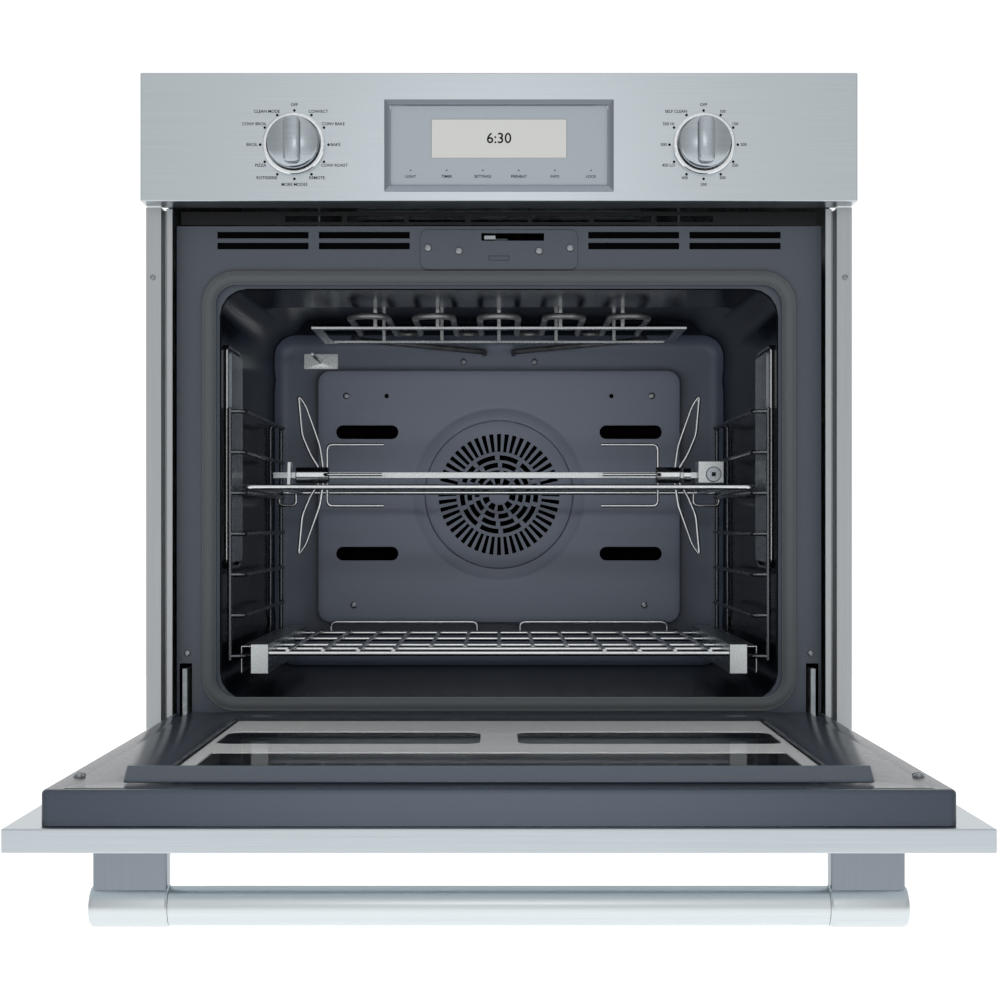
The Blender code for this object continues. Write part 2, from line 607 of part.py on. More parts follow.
def rotisserie(oven):
    """A wire cradle on the third rung carries a bearing plate, an angle gearbox and the turning spit."""
    slide = empty("cradle_slide", (0, CRADLE_FRONT, CRADLE_Z), oven)
    away = Vector((0, -CRADLE_FRONT, -CRADLE_Z))

    def place(shape):
        bmesh.ops.translate(shape, verts=shape.verts, vec=away)
        return shape

    line = rectangle(-CRADLE_HALF, CRADLE_FRONT, CRADLE_HALF, CRADLE_BACK, 0.012, 3)
    loop = place(wire([(x, y, CRADLE_Z) for x, y in line], 0.003, closed=True))
    cradle = piece("rotisserie_cradle", loop, "chrome", slide, smooth=True)
    for x in (-0.2572, COUPLING_X):
        run = wire([(x, CRADLE_FRONT - 0.001, CRADLE_Z), (x, CRADLE_BACK + 0.001, CRADLE_Z)], 0.0024)
        weld(cradle, place(run))
    notch = 0.0062
    plate = [(SPIT_Y - 0.022, CRADLE_Z - 0.001), (SPIT_Y + 0.022, CRADLE_Z - 0.001),
             (SPIT_Y + 0.014, 0.3375), (SPIT_Y + notch, 0.3375), (SPIT_Y + notch, SPIT_Z - notch),
             (SPIT_Y - notch, SPIT_Z - notch), (SPIT_Y - notch, 0.3375), (SPIT_Y - 0.014, 0.3375)]
    weld(cradle, place(prism(plate, -0.2590, -0.2555, "x")))

    box = place(block((0.244, 0.305, 0.3118), (0.2755, 0.339, 0.3386)))
    gearbox = piece("spit_gearbox", box, "zinc_steel", slide)
    cut(gearbox, place(turned([(0.0063, 0.23), (0.0063, 0.256)], (SPIT_Y, SPIT_Z), "x", 16)))
    weld(gearbox, place(turned([(0.004, 0.336), (0.004, 0.5405)], (COUPLING_X, SPIT_Z), "y", 12)))
    motor = block((0.235, CAVITY_BACK + 0.006, 0.297), (0.285, 0.594, 0.347))
    piece("rotisserie_motor", motor, "zinc_steel", oven)

    turn = empty("spit_axis", (0, SPIT_Y - CRADLE_FRONT, SPIT_Z - CRADLE_Z), slide)
    h = SPIT_SIDE / 2
    piece("spit_rod", prism(rectangle(-h, -h, h, h), -0.2788, 0.2520, "x"), "stainless", turn)
    for side, sign in (("left", -1), ("right", 1)):
        a, b = (0.209, 0.250) if sign < 0 else (0.193, 0.223)
        low, high = sorted((sign * a, sign * b))
        o, i = 0.011, h + GAP
        hub = frame_prism(rectangle(-o, -o, o, o), rectangle(-i, -i, i, i), low, high, "x")
        fork = piece(f"{side}_spit_fork", hub, "stainless", turn)
        wires = []
        for step in range(4):
            angle = math.pi / 2 * step
            c, s = math.cos(angle), math.sin(angle)
            tine = [(a + 0.003, 0.0085), (a + 0.003, 0.0377), (a - 0.067, 0.0377)]
            wires.append(wire([(sign * x, r * c, r * s) for x, r in tine], 0.0019))
        for q in (-1, 1):
            wing = [(sign * x, 0, q * z) for x, z in SPIT_WING]
            wires.append(wire(wing, 0.0019))
        weld(fork, *wires)


def blower(oven):
    """The cooling blower above the cavity: an open-fronted duct with a long bladed wheel."""
    duct = piece("blower_housing", block((-0.20, 0.10, 0.590), (0.20, 0.36, 0.690)), "zinc_steel", oven)
    cut(duct, block((-0.1985, 0.05, 0.5915), (0.1985, 0.3585, 0.6885)))
    axis = (0.29, 0.640)
    cut(duct, turned([(0.0045, -0.25), (0.0045, 0.25)], axis, "x", 12))
    turn = empty("blower_axis", (0, *axis), oven)
    star = []
    for i in range(12):
        for r, step in ((0.024, 0), (0.036, 6), (0.036, 12), (0.024, 9)):
            angle = math.radians(30 * i + step)
            star.append((r * math.cos(angle), r * math.sin(angle)))
    wheel = piece("blower_wheel", prism(star, -0.17, 0.17, "x"), "zinc_steel", turn)
    weld(wheel, turned([(0.004, -0.21), (0.004, 0.21)], (0, 0), "x", 12))


def hinge_arms(oven):
    """The fixed arm of each door hinge: its eye holds the hinge axis and its tongue goes into the frame."""
    eye = circle(HINGE_Y, HINGE_Z, 0.008, 12)
    lower = [p for p in eye if p[0] < HINGE_Y + 0.001 or p[1] < HINGE_Z - 0.001]
    lower.sort(key=lambda p: math.atan2(p[1] - HINGE_Z, p[0] - HINGE_Y) % (2 * math.pi))
    outline = lower + [(0.052, 0.046), (0.090, 0.046), (0.090, 0.105), (0.053, 0.105), (0.053, 0.060)]
    outline.append((0.0515, 0.0535))
    for side, sign in (("left", -1), ("right", 1)):
        low, high = sorted((sign * 0.3375, sign * 0.3430))
        piece(f"{side}_hinge_arm", prism(outline, low, high, "x"), "zinc_steel", oven)


def door(oven):
    hinge = empty("door_hinge", (0, HINGE_Y, HINGE_Z), oven)
    hinge.rotation_euler.x = math.radians(90)
    face = -HINGE_Y
    e = SHEET

    skin = piece("door_skin", block((-HALF, face, DOOR_LOW), (HALF, face + SKIN_DEPTH, DOOR_HIGH)),
                 "stainless", hinge)
    rim = face + SKIN_DEPTH
    cut(skin, block((-HALF + e, face + e, DOOR_LOW + e), (HALF - e, rim - e, DOOR_HIGH - e)))
    cut(skin, block((-LINER_HALF + e, rim - 2 * e, DOOR_LOW + 2 * e),
                    (LINER_HALF - e, 0.02, LINER_HIGH - e)))
    line = rectangle(-WINDOW_HALF, WINDOW_LOW, WINDOW_HALF, WINDOW_HIGH, 0.012, 3)
    cut(skin, prism(line, face - 0.01, face + 0.01, "y"))
    glass = block((-WINDOW_HALF - 0.015, face + e + GAP, WINDOW_LOW - 0.012),
                  (WINDOW_HALF + 0.015, face + e + 0.004, WINDOW_HIGH + 0.012))
    piece("outer_glass", glass, "glass", hinge)

    back = face + SKIN_DEPTH + GAP
    body = block((-LINER_HALF, back, DOOR_LOW), (LINER_HALF, LINER_FACE, LINER_HIGH))
    hollow = block((-LINER_HALF + e, -0.03, DOOR_LOW + e), (LINER_HALF - e, LINER_FACE - e, LINER_HIGH - e))
    liner = cut(piece("door_liner", body, "enamel", hinge), hollow)
    line = rectangle(-GLASS_HALF, GLASS_LOW, GLASS_HALF, GLASS_HIGH, 0.006, 2)
    pitch, length, slot_h = 0.0978, 0.082, 0.5370
    tools = [prism(line, 0.0, 0.03, "y")]
    for i in range(-3, 4):
        left = pitch * i - length / 2
        tools.append(block((left, 0.0, slot_h), (left + length, 0.03, slot_h + 0.004)))
    tools.append(block((-0.0288, 0.0, 0.5265), (0.0094, 0.03, 0.5345)))
    for sign in (-1, 1):
        tools.append(block(*mirrored(sign, (0.3345, -0.03, -0.03), (0.3465, 0.03, 0.024))))
    cut(liner, *tools)

    g = GAP
    line = rectangle(-GLASS_HALF + g, GLASS_LOW + g, GLASS_HALF - g, GLASS_HIGH - g, 0.006, 2)
    piece("inner_glass", prism(line, 0.0125, 0.0165, "y"), "glass", hinge)
    plate = block((-GLASS_HALF + 0.002, 0.0105, GLASS_LOW + 0.002),
                  (GLASS_HALF - 0.002, 0.0120, GLASS_HIGH - 0.002))
    holder = piece("window_frame", plate, "zinc_steel", hinge)
    windows = []
    for sign in (-1, 1):
        a, b = sorted((sign * 0.018, sign * 0.270))
        windows.append(prism(rectangle(a, 0.117, b, 0.2195, 0.014, 3), 0.0, 0.03, "y"))
    windows.append(block((-0.262, 0.0, 0.280), (0.262, 0.03, 0.478)))
    cut(holder, *windows)

    bar = [(LINER_FACE + GAP, 0.4960), (0.029, 0.4960), (0.029, 0.4985), (0.0195, 0.5125),
           (LINER_FACE + GAP, 0.5125)]
    piece("door_bar", prism(bar, -0.294, 0.294, "x"), "black_steel", hinge)

    grip = frame_prism(circle(-HANDLE_OUT, HANDLE_H, HANDLE_RADIUS, 20),
                       circle(-HANDLE_OUT, HANDLE_H, HANDLE_RADIUS - 0.002, 20), -0.2577, 0.2577, "x")
    piece("handle_tube", grip, "stainless", hinge, smooth=True)
    for side, sign in (("left", -1), ("right", 1)):
        low, high = sorted((sign * 0.2580, sign * 0.3200))
        end = turned([(0.0142, low), (0.0166, low + 0.0024), (0.0166, high - 0.0024), (0.0142, high)],
                     (-HANDLE_OUT, HANDLE_H), "x", 20)
        post = piece(f"{side}_handle_post", end, "stainless", hinge, smooth=True)
        weld(post, block(*mirrored(sign, (0.2590, -HANDLE_OUT, HANDLE_H - 0.013),
                                   (0.3170, face - GAP, HANDLE_H + 0.013))))


def main():
    clear_scene()
    oven = empty("oven_front", (0, FRONT_Y, 0))
    chassis(oven)
    trims(oven)
    control_panel(oven)
    knob("mode_knob", -1, oven)
    knob("temperature_knob", 1, oven)
    front_frame(oven)
    door_gasket(oven)
    cavity(oven)
    fan_cover(oven)
    fan(oven)
    elements(oven)
    rack_ladders(oven)
    rack(oven)
    rotisserie(oven)
    blower(oven)
    hinge_arms(oven)
    door(oven)


main()
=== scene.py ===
"""The looks of a built-in wall oven: brushed stainless steel outside, blue-black porcelain enamel inside.

Metres, +Z up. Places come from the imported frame: x from the middle, depth from the control panel's front
face backwards, and z from the base pan's underside. Door pieces are worked out as on a closed door and laid
open about the hinge. Every function that makes a shape returns its points and faces as one (points, faces)
pair, and made() turns a list of such pairs into one piece.
"""

import json
import math

import bmesh
import bpy
import numpy as np
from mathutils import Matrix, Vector


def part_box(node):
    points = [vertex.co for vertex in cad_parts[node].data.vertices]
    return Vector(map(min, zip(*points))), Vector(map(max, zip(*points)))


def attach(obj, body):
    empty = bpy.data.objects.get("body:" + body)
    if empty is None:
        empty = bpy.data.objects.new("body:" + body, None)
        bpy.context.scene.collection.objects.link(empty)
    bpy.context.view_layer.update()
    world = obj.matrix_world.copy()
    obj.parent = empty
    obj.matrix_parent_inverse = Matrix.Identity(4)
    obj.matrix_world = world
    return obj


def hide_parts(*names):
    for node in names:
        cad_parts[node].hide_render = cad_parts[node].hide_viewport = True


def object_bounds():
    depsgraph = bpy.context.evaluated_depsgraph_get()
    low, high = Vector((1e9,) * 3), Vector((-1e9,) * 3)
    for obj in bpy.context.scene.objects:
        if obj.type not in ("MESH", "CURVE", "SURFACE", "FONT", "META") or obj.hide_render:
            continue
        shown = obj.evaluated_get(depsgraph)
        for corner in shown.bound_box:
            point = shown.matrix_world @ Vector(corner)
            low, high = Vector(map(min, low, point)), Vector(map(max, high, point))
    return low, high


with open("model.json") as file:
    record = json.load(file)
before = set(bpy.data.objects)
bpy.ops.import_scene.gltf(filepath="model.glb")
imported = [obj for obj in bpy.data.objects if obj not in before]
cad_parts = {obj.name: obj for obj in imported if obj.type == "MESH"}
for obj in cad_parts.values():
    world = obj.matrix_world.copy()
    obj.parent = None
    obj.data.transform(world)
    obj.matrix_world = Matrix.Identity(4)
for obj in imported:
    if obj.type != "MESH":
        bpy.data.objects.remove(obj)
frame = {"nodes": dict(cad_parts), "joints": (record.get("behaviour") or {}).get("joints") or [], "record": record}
cad_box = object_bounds()

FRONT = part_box("control_panel")[0].y
HINGE = next(joint["pos_m"] for joint in frame["joints"] if joint["name"] == "door_hinge")
BODY = {node: body for body, nodes in frame["record"]["behaviour"]["bodies"].items() for node in nodes}
SLOT = {part["node"]: part["material_slot"] for part in frame["record"]["subparts"]}
MM = 0.001
TURN = 2 * math.pi


# Materials


def shade(text):
    """The linear colour of an sRGB hex value: each channel through the sRGB curve."""
    channels = np.array([int(text[i:i + 2], 16) / 255 for i in (1, 3, 5)])
    linear = np.where(channels <= 0.04045, channels / 12.92, ((channels + 0.055) / 1.055) ** 2.4)
    return (*linear.tolist(), 1.0)


def add(tree, kind, inputs=None, **settings):
    """Adds a node, with its settings and with values or links for its inputs."""
    node = tree.nodes.new(kind)
    for name, value in settings.items():
        setattr(node, name, value)
    for name, value in (inputs or {}).items():
        if isinstance(value, bpy.types.NodeSocket):
            tree.links.new(value, node.inputs[name])
        else:
            node.inputs[name].default_value = value
    return node


def finish(name, colour, roughness, metallic=0.0, **sockets):
    """A Principled material in one colour, and its tree, shader and object coordinates to build on."""
    made = bpy.data.materials.new(name)
    made.use_nodes = True
    tree = made.node_tree
    shader = tree.nodes["Principled BSDF"]
    shader.inputs["Base Color"].default_value = shade(colour)
    shader.inputs["Roughness"].default_value = roughness
    shader.inputs["Metallic"].default_value = metallic
    for socket, value in sockets.items():
        shader.inputs[socket.replace("_", " ")].default_value = value
    where = add(tree, "ShaderNodeTexCoord").outputs["Object"]
    return made, tree, shader, where


def varied(tree, shader, amount, light, dark, rough, relief=0.0, depth=0.0001):
    """Lets one 0 to 1 pattern drive the colour from dark to light, the roughness and a relief."""
    mix = add(tree, "ShaderNodeMix", {0: amount, 6: shade(dark), 7: shade(light)}, data_type="RGBA")
    tree.links.new(mix.outputs[2], shader.inputs["Base Color"])
    spread = add(tree, "ShaderNodeMapRange", {"Value": amount, "To Min": rough[0], "To Max": rough[1]})
    tree.links.new(spread.outputs["Result"], shader.inputs["Roughness"])
    if relief:
        bump = add(tree, "ShaderNodeBump", {"Height": amount, "Strength": relief, "Distance": depth})
        tree.links.new(bump.outputs["Normal"], shader.inputs["Normal"])


def brushed_stainless(name, light, dark, rough, long_axis=0):
    """Stainless steel sheet brushed along one axis: hairlines about 150 mm long.

    Real hairlines are some 0.1 mm wide, too fine to show, so they are drawn 0.9 mm wide.
    """
    made, tree, shader, where = finish(name, light, rough[0], 1.0)
    stretch = [1 / (0.9 * MM)] * 3
    stretch[long_axis] = 1 / (150 * MM)
    lines = add(tree, "ShaderNodeMapping", {"Vector": where, "Scale": stretch})
    noise = add(tree, "ShaderNodeTexNoise", {"Vector": lines.outputs[0], "Scale": 1.0, "Detail": 4.0,
                                             "Roughness": 0.65})
    varied(tree, shader, noise.outputs["Fac"], light, dark, rough, 0.10, 0.05 * MM)
    return made


def porcelain_enamel(name, colour, fleck, rough, shine=0.5):
    """Fired glass enamel on steel: glossy and dark, faintly uneven every 6 mm, with fine paler flecks."""
    made, tree, shader, where = finish(name, colour, rough[0], 0.0, IOR=1.52,
                                       Specular_IOR_Level=shine)
    cells = add(tree, "ShaderNodeTexNoise", {"Vector": where, "Scale": 1 / (1.6 * MM), "Detail": 2.0})
    specks = add(tree, "ShaderNodeMapRange", {"Value": cells.outputs["Fac"], "From Min": 0.60,
                                              "From Max": 0.78})
    mix = add(tree, "ShaderNodeMix", {0: specks.outputs["Result"], 6: shade(colour), 7: shade(fleck)},
              data_type="RGBA")
    tree.links.new(mix.outputs[2], shader.inputs["Base Color"])
    waves = add(tree, "ShaderNodeTexNoise", {"Vector": where, "Scale": 1 / (6 * MM), "Detail": 2.0})
    spread = add(tree, "ShaderNodeMapRange", {"Value": waves.outputs["Fac"], "To Min": rough[0],
                                              "To Max": rough[1]})
    tree.links.new(spread.outputs["Result"], shader.inputs["Roughness"])
    bump = add(tree, "ShaderNodeBump", {"Height": waves.outputs["Fac"], "Strength": 0.12,
                                        "Distance": 0.15 * MM})
    tree.links.new(bump.outputs["Normal"], shader.inputs["Normal"])
    return made


def plated_wire(name, light, dark, rough):
    """Drawn steel wire, nickel-chrome plated: bright, with faint heat tint and drawing marks every 3 mm."""
    made, tree, shader, where = finish(name, light, rough[0], 1.0)
    noise = add(tree, "ShaderNodeTexNoise", {"Vector": where, "Scale": 1 / (3 * MM), "Detail": 3.0})
    varied(tree, shader, noise.outputs["Fac"], light, dark, rough, 0.05, 0.05 * MM)
    return made


def galvanised_sheet():
    """Hot-dip zinc on steel sheet: grey crystals of spangle about 9 mm across, each with its own tone."""
    made, tree, shader, where = finish("galvanised_sheet_steel", "#9aa1a5", 0.45, 1.0)
    crystals = add(tree, "ShaderNodeTexVoronoi", {"Vector": where, "Scale": 1 / (9 * MM)})
    tone = add(tree, "ShaderNodeSeparateColor", {"Color": crystals.outputs["Color"]})
    varied(tree, shader, tone.outputs["Red"], "#b3babd", "#878e92", (0.36, 0.56))
    return made


def braided_gasket():
    """Knitted glass-fibre seal soaked in silicone: dull dark grey, in faint slanting rows 4 mm apart."""
    made, tree, shader, where = finish("silicone_glass_braid", "#3b4042", 0.7)
    shader.inputs["Sheen Weight"].default_value = 0.25
    rows = add(tree, "ShaderNodeTexWave", {"Vector": where, "Scale": 1 / (7 * MM), "Distortion": 2.0,
                                           "Detail": 2.0}, bands_direction="DIAGONAL")
    varied(tree, shader, rows.outputs["Fac"], "#3f4446", "#373b3e", (0.60, 0.75), 0.12, 0.1 * MM)
    return made


def oxidised_sheath():
    """Nickel-alloy heating tube, oxidised by its own heat: dull grey with mottles of about 12 mm."""
    made, tree, shader, where = finish("oxidised_heater_sheath", "#6d6f70", 0.5, 0.9)
    noise = add(tree, "ShaderNodeTexNoise", {"Vector": where, "Scale": 1 / (12 * MM), "Detail": 4.0})
    varied(tree, shader, noise.outputs["Fac"], "#9b9fa1", "#56585a", (0.32, 0.55))
    return made


def mineral_wool():
    """Rock-wool blanket: matt straw-coloured fibres in tufts of about 5 mm."""
    made, tree, shader, where = finish("mineral_wool", "#b8aa80", 0.95)
    noise = add(tree, "ShaderNodeTexNoise", {"Vector": where, "Scale": 1 / (5 * MM), "Detail": 6.0})
    varied(tree, shader, noise.outputs["Fac"], "#cbbd93", "#94875f", (0.9, 1.0), 0.8, 1.5 * MM)
    return made


def smoked_glass(name, colour, rough, cover):
    """Tempered float glass with a thin dark oxide coat: the coat covers part of what lies behind."""
    return finish(name, colour, rough, 0.0, IOR=1.45, Alpha=cover)[0]


def ribbed_lamp_glass():
    """Pressed borosilicate lens: grey when unlit, ribbed every 8 mm along its depth to spread the light."""
    made, tree, shader, where = finish("ribbed_borosilicate", "#8d959c", 0.12, 0.0, IOR=1.47)
    shader.inputs["Transmission Weight"].default_value = 0.55
    ribs = add(tree, "ShaderNodeTexWave", {"Vector": where, "Scale": 1 / (25 * MM)}, bands_direction="Y")
    bump = add(tree, "ShaderNodeBump", {"Height": ribs.outputs["Fac"], "Strength": 0.6,
                                        "Distance": 0.8 * MM})
    tree.links.new(bump.outputs["Normal"], shader.inputs["Normal"])
    return made


def circuit_board():
    """Glass-epoxy board under green solder mask, with copper tracks about 4 mm apart."""
    made, tree, shader, where = finish("green_circuit_board", "#14532d", 0.35)
    tracks = add(tree, "ShaderNodeTexBrick", {"Vector": where, "Scale": 1 / (8 * MM)})
    varied(tree, shader, tracks.outputs["Fac"], "#2d7a45", "#0f4526", (0.3, 0.5))
    return made


def powder_coat(name, colour, rough, shine=0.5):
    """Baked powder paint, and other dull coats: matt, with an orange-peel skin of about 0.8 mm."""
    made, tree, shader, where = finish(name, colour, rough, Specular_IOR_Level=shine)
    noise = add(tree, "ShaderNodeTexNoise", {"Vector": where, "Scale": 1 / (0.8 * MM), "Detail": 2.0})
    bump = add(tree, "ShaderNodeBump", {"Height": noise.outputs["Fac"], "Strength": 0.2,
                                        "Distance": 0.1 * MM})
    tree.links.new(bump.outputs["Normal"], shader.inputs["Normal"])
    return made


def moulded_screen(name, colour, rough, glow):
    """A lit liquid-crystal panel: evenly pale, a little warm, behind a satin cover."""
    made, tree, shader, where = finish(name, colour, rough)
    shader.inputs["Emission Color"].default_value = shade(colour)
    shader.inputs["Emission Strength"].default_value = glow
    noise = add(tree, "ShaderNodeTexNoise", {"Vector": where, "Scale": 1 / (40 * MM)})
    spread = add(tree, "ShaderNodeMapRange", {"Value": noise.outputs["Fac"], "To Min": rough - 0.03,
                                              "To Max": rough + 0.03})
    tree.links.new(spread.outputs["Result"], shader.inputs["Roughness"])
    return made


STEEL = brushed_stainless("brushed_stainless_panel", "#c2c9cd", "#a7afb5", (0.24, 0.36))
STEEL_HANDLE = brushed_stainless("brushed_stainless_handle", "#d0d6d8", "#b9c1c4", (0.24, 0.34))
SCREW = plated_wire("zinc_plated_screw", "#a3a8ac", "#6f7478", (0.25, 0.40))
# A darker copy of the brushed steel: painted shade, for the handle necks under the open door and the sloped
# display bezel.
SHADED_STEEL = brushed_stainless("brushed_stainless_painted_shade", "#8a929a", "#757d84", (0.26, 0.36), 2)
STEEL_UPRIGHT = brushed_stainless("brushed_stainless_strip", "#b0b3b5", "#989c9f", (0.28, 0.40), 2)
STEEL_RAIL = brushed_stainless("brushed_stainless_rail", "#d5d9da", "#b9bfc1", (0.22, 0.34), 1)
POLISHED = brushed_stainless("polished_stainless", "#b0b7bc", "#9aa2a8", (0.16, 0.26))
CHROME = plated_wire("chrome_plated_wire", "#e4e7e9", "#c2c6c9", (0.12, 0.24))
DARK_WIRE = plated_wire("nickel_plated_ladder_wire", "#72767b", "#55595e", (0.20, 0.34))
ZINC = galvanised_sheet()
ALUMINISED = powder_coat("aluminised_sheet_steel", "#f2f3f3", 0.6, 1.0)
ENAMEL = porcelain_enamel("porcelain_enamel_blue_black", "#03060c", "#0b1019", (0.16, 0.26), 0.2)
# A paler copy of the cavity enamel for the liner's back wall: painted light, where light through the mouth falls
# on the back.
LIT_BACK_ENAMEL = porcelain_enamel("porcelain_enamel_back_wall_painted_light", "#434a57", "#4b525f", (0.34, 0.44))
FACE_ENAMEL = porcelain_enamel("porcelain_enamel_slate", "#373d46", "#3d434c", (0.30, 0.42), 0.4)
COVER_ENAMEL = porcelain_enamel("porcelain_enamel_fan_cover", "#565c69", "#5d636f", (0.34, 0.44), 0.4)
DOOR_ENAMEL = porcelain_enamel("porcelain_enamel_door", "#2c323a", "#31373f", (0.16, 0.26), 0.14)
BLACK = powder_coat("black_powder_coat", "#08090b", 0.5, 0.25)
# Near-black matt finish: painted shade, for places deep in shadow behind openings.
SHADE_BLACK = powder_coat("matt_black_painted_shade", "#020203", 0.9, 0.05)
BAR_COAT = powder_coat("slate_powder_coat", "#2b323b", 0.38)
GLASS = smoked_glass("coated_door_glass", "#20262c", 0.04, 0.20)
OUTER_GLASS = smoked_glass("black_door_glass", "#0a0c0e", 0.04, 0.94)
LENS = ribbed_lamp_glass()
GASKET = braided_gasket()
SHEATH = oxidised_sheath()
WOOL = mineral_wool()
BOARD = circuit_board()
DISPLAY = powder_coat("smoked_touch_panel", "#828a90", 0.34)
SCREEN = moulded_screen("liquid_crystal_screen", "#a4a5a3", 0.45, 0.08)
INK = powder_coat("printed_black_ink", "#030304", 0.7, 0.1)

FINISHES = {"stainless": STEEL, "chrome": CHROME, "zinc_steel": ZINC, "enamel": ENAMEL, "black_steel": BLACK,
            "glass": GLASS, "display": DISPLAY, "screen": SCREEN, "gasket": GASKET, "element": SHEATH,
            "wool": WOOL, "board": BOARD}


# Shapes: arrays of points and the faces between them


def lattice(grid, wrap=(False, True), ends=True):
    """Joins a grid of points, rows by columns, with a quad between each four neighbours."""
    rows, columns = grid.shape[:2]
    index = np.arange(rows * columns).reshape(rows, columns)
    if wrap[0]:
        index = np.vstack([index, index[:1]])
    if wrap[1]:
        index = np.hstack([index, index[:, :1]])
    corners = [index[:-1, :-1], index[:-1, 1:], index[1:, 1:], index[1:, :-1]]
    faces = np.stack(corners, axis=-1).reshape(-1, 4).tolist()
    if ends and not wrap[0]:
        faces += [np.arange(columns).tolist(), (np.arange(columns) + (rows - 1) * columns).tolist()]
    return grid.reshape(-1, 3), faces


def tube(path, radius, sides=14, closed=False, up=(0, 0, 1)):
    """A round section carried along a path: radius x (cos t x side + sin t x top) about each point."""
    path = np.asarray(path, float)
    ways = np.roll(path, -1, 0) - np.roll(path, 1, 0) if closed else np.gradient(path, axis=0)
    ways /= np.linalg.norm(ways, axis=1, keepdims=True)
    side = np.cross(ways, up)
    side /= np.linalg.norm(side, axis=1, keepdims=True)
    top = np.cross(side, ways)
    t = np.linspace(0, TURN, sides, endpoint=False)[None, :, None]
    rings = path[:, None] + radius * (np.cos(t) * side[:, None] + np.sin(t) * top[:, None])
    return lattice(rings, (closed, True))


def bent(points, radius, steps=6, closed=False):
    """A polyline with its corners rounded: each becomes a quadratic curve between points radius away."""
    points = np.asarray(points, float)
    before, after = np.roll(points, 1, 0) - points, np.roll(points, -1, 0) - points
    reach = [np.linalg.norm(v, axis=1, keepdims=True) for v in (before, after)]
    start = points + before / reach[0] * np.minimum(radius, reach[0] * 0.45)
    stop = points + after / reach[1] * np.minimum(radius, reach[1] * 0.45)
    t = np.linspace(0, 1, steps)[None, :, None]
    curves = (1 - t) ** 2 * start[:, None] + 2 * t * (1 - t) * points[:, None] + t ** 2 * stop[:, None]
    if closed:
        return curves.reshape(-1, 3)
    return np.vstack([points[:1], curves[1:-1].reshape(-1, 3), points[-1:]])


def rounded(half_w, half_h, radius, steps=8, runs=1, centre=(0, 0)):
    """A rectangle with round corners: four quarter circles, and straight runs between them."""
    turn = (np.linspace(0, 0.25, steps + 1)[None] + np.arange(4)[:, None] / 4) * TURN
    cx = np.array([1, -1, -1, 1])[:, None] * (half_w - radius)
    cz = np.array([1, 1, -1, -1])[:, None] * (half_h - radius)
    arcs = np.stack([cx + radius * np.cos(turn), cz + radius * np.sin(turn)], axis=-1)
    t = (np.arange(1, runs) / runs)[None, :, None]
    straights = arcs[:, -1:] * (1 - t) + np.roll(arcs[:, :1], -1, 0) * t
    return np.concatenate([arcs, straights], axis=1).reshape(-1, 2) + np.asarray(centre)


def pressed(half_w, half_h, radius, profile, centre, steps=8, closed=False):
    """A profile of (inset, depth) pairs carried round a rectangle with round corners, upright in x and z."""
    rings = []
    for inset, depth in profile:
        line = rounded(half_w - inset, half_h - inset, max(radius - inset, 0.0004), steps, 1, centre)
        rings.append(np.column_stack([line[:, 0], np.full(len(line), depth), line[:, 1]]))
    return lattice(np.array(rings), (closed, True), not closed)


def turned(profile, centre, axis="y", sides=48, closed=False):
    """A profile of (radius, place along the axis) pairs turned about an axis through centre."""
    profile = np.asarray(profile, float)
    t = np.linspace(0, TURN, sides, endpoint=False)
    a = centre[0] + profile[:, :1] * np.cos(t)
    b = centre[1] + profile[:, :1] * np.sin(t)
    along = np.broadcast_to(profile[:, 1:], a.shape)
    order = {"x": (along, a, b), "y": (a, along, b), "z": (a, b, along)}[axis]
    return lattice(np.stack(order, axis=-1), (closed, True), not closed)


def box(low, high):
    """The eight corners of a box and its six faces."""
    x, y, z = zip(low, high)
    points = np.array([(a, b, c) for a in x for b in y for c in z], float)
    return points, [[0, 1, 3, 2], [4, 6, 7, 5], [0, 4, 5, 1], [2, 3, 7, 6], [0, 2, 6, 4], [1, 5, 7, 3]]


def sector(near, far, start, stop, front, back, centre, steps=4):
    """A flat piece of a ring between two radii and two angles, as thick as front to back."""
    t = np.linspace(start, stop, steps)
    line = np.concatenate([far * np.stack([np.cos(t), np.sin(t)], -1),
                           near * np.stack([np.cos(t[::-1]), np.sin(t[::-1])], -1)]) + centre
    rings = [np.column_stack([line[:, 0], np.full(len(line), y), line[:, 1]]) for y in (front, back)]
    return lattice(np.array(rings))


def plate(outline, low, high):
    """An outline in y and z drawn out along x."""
    line = np.asarray(outline, float)
    return lattice(np.array([np.column_stack([np.full(len(line), x), line]) for x in (low, high)]))


def moved(shape, offset):
    return shape[0] + np.asarray(offset), shape[1]


def mirrored(shape):
    """The same shape on the other side of the middle."""
    return shape[0] * (-1, 1, 1), shape[1]


def from_front(shape):
    """Shifts a shape whose y is depth behind the control panel's face to where it is in the frame."""
    return moved(shape, (0, FRONT, 0))


def on_door(shape):
    """Lays a shape drawn on a closed door open: the hinge height becomes depth, and depth height."""
    x, y, z = shape[0].T
    return np.column_stack([x, HINGE[1] - z, HINGE[2] + y]), shape[1]


# Pieces


def settle(mesh, angle):
    """Turns all faces outwards, and shades smooth except at edges sharper than the angle."""
    work = bmesh.new()
    work.from_mesh(mesh)
    bmesh.ops.recalc_face_normals(work, faces=work.faces)
    work.to_mesh(mesh)
    work.free()
    mesh.shade_smooth()
    mesh.set_sharp_from_angle(angle=math.radians(angle))


def made(name, shapes, material, body, slot, stands_for=(), angle=35):
    """One piece of one or more shapes, riding on a body, in place of the CAD nodes it stands for."""
    starts = np.cumsum([0] + [len(points) for points, _ in shapes])
    mesh = bpy.data.meshes.new(name)
    faces = [[int(start) + i for i in face] for start, (_, some) in zip(starts, shapes) for face in some]
    mesh.from_pydata(np.vstack([points for points, _ in shapes]).tolist(), [], faces)
    settle(mesh, angle)
    mesh.materials.append(material)
    piece = bpy.data.objects.new(name, mesh)
    bpy.context.scene.collection.objects.link(piece)
    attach(piece, body)
    if stands_for:
        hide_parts(*stands_for)
    return piece


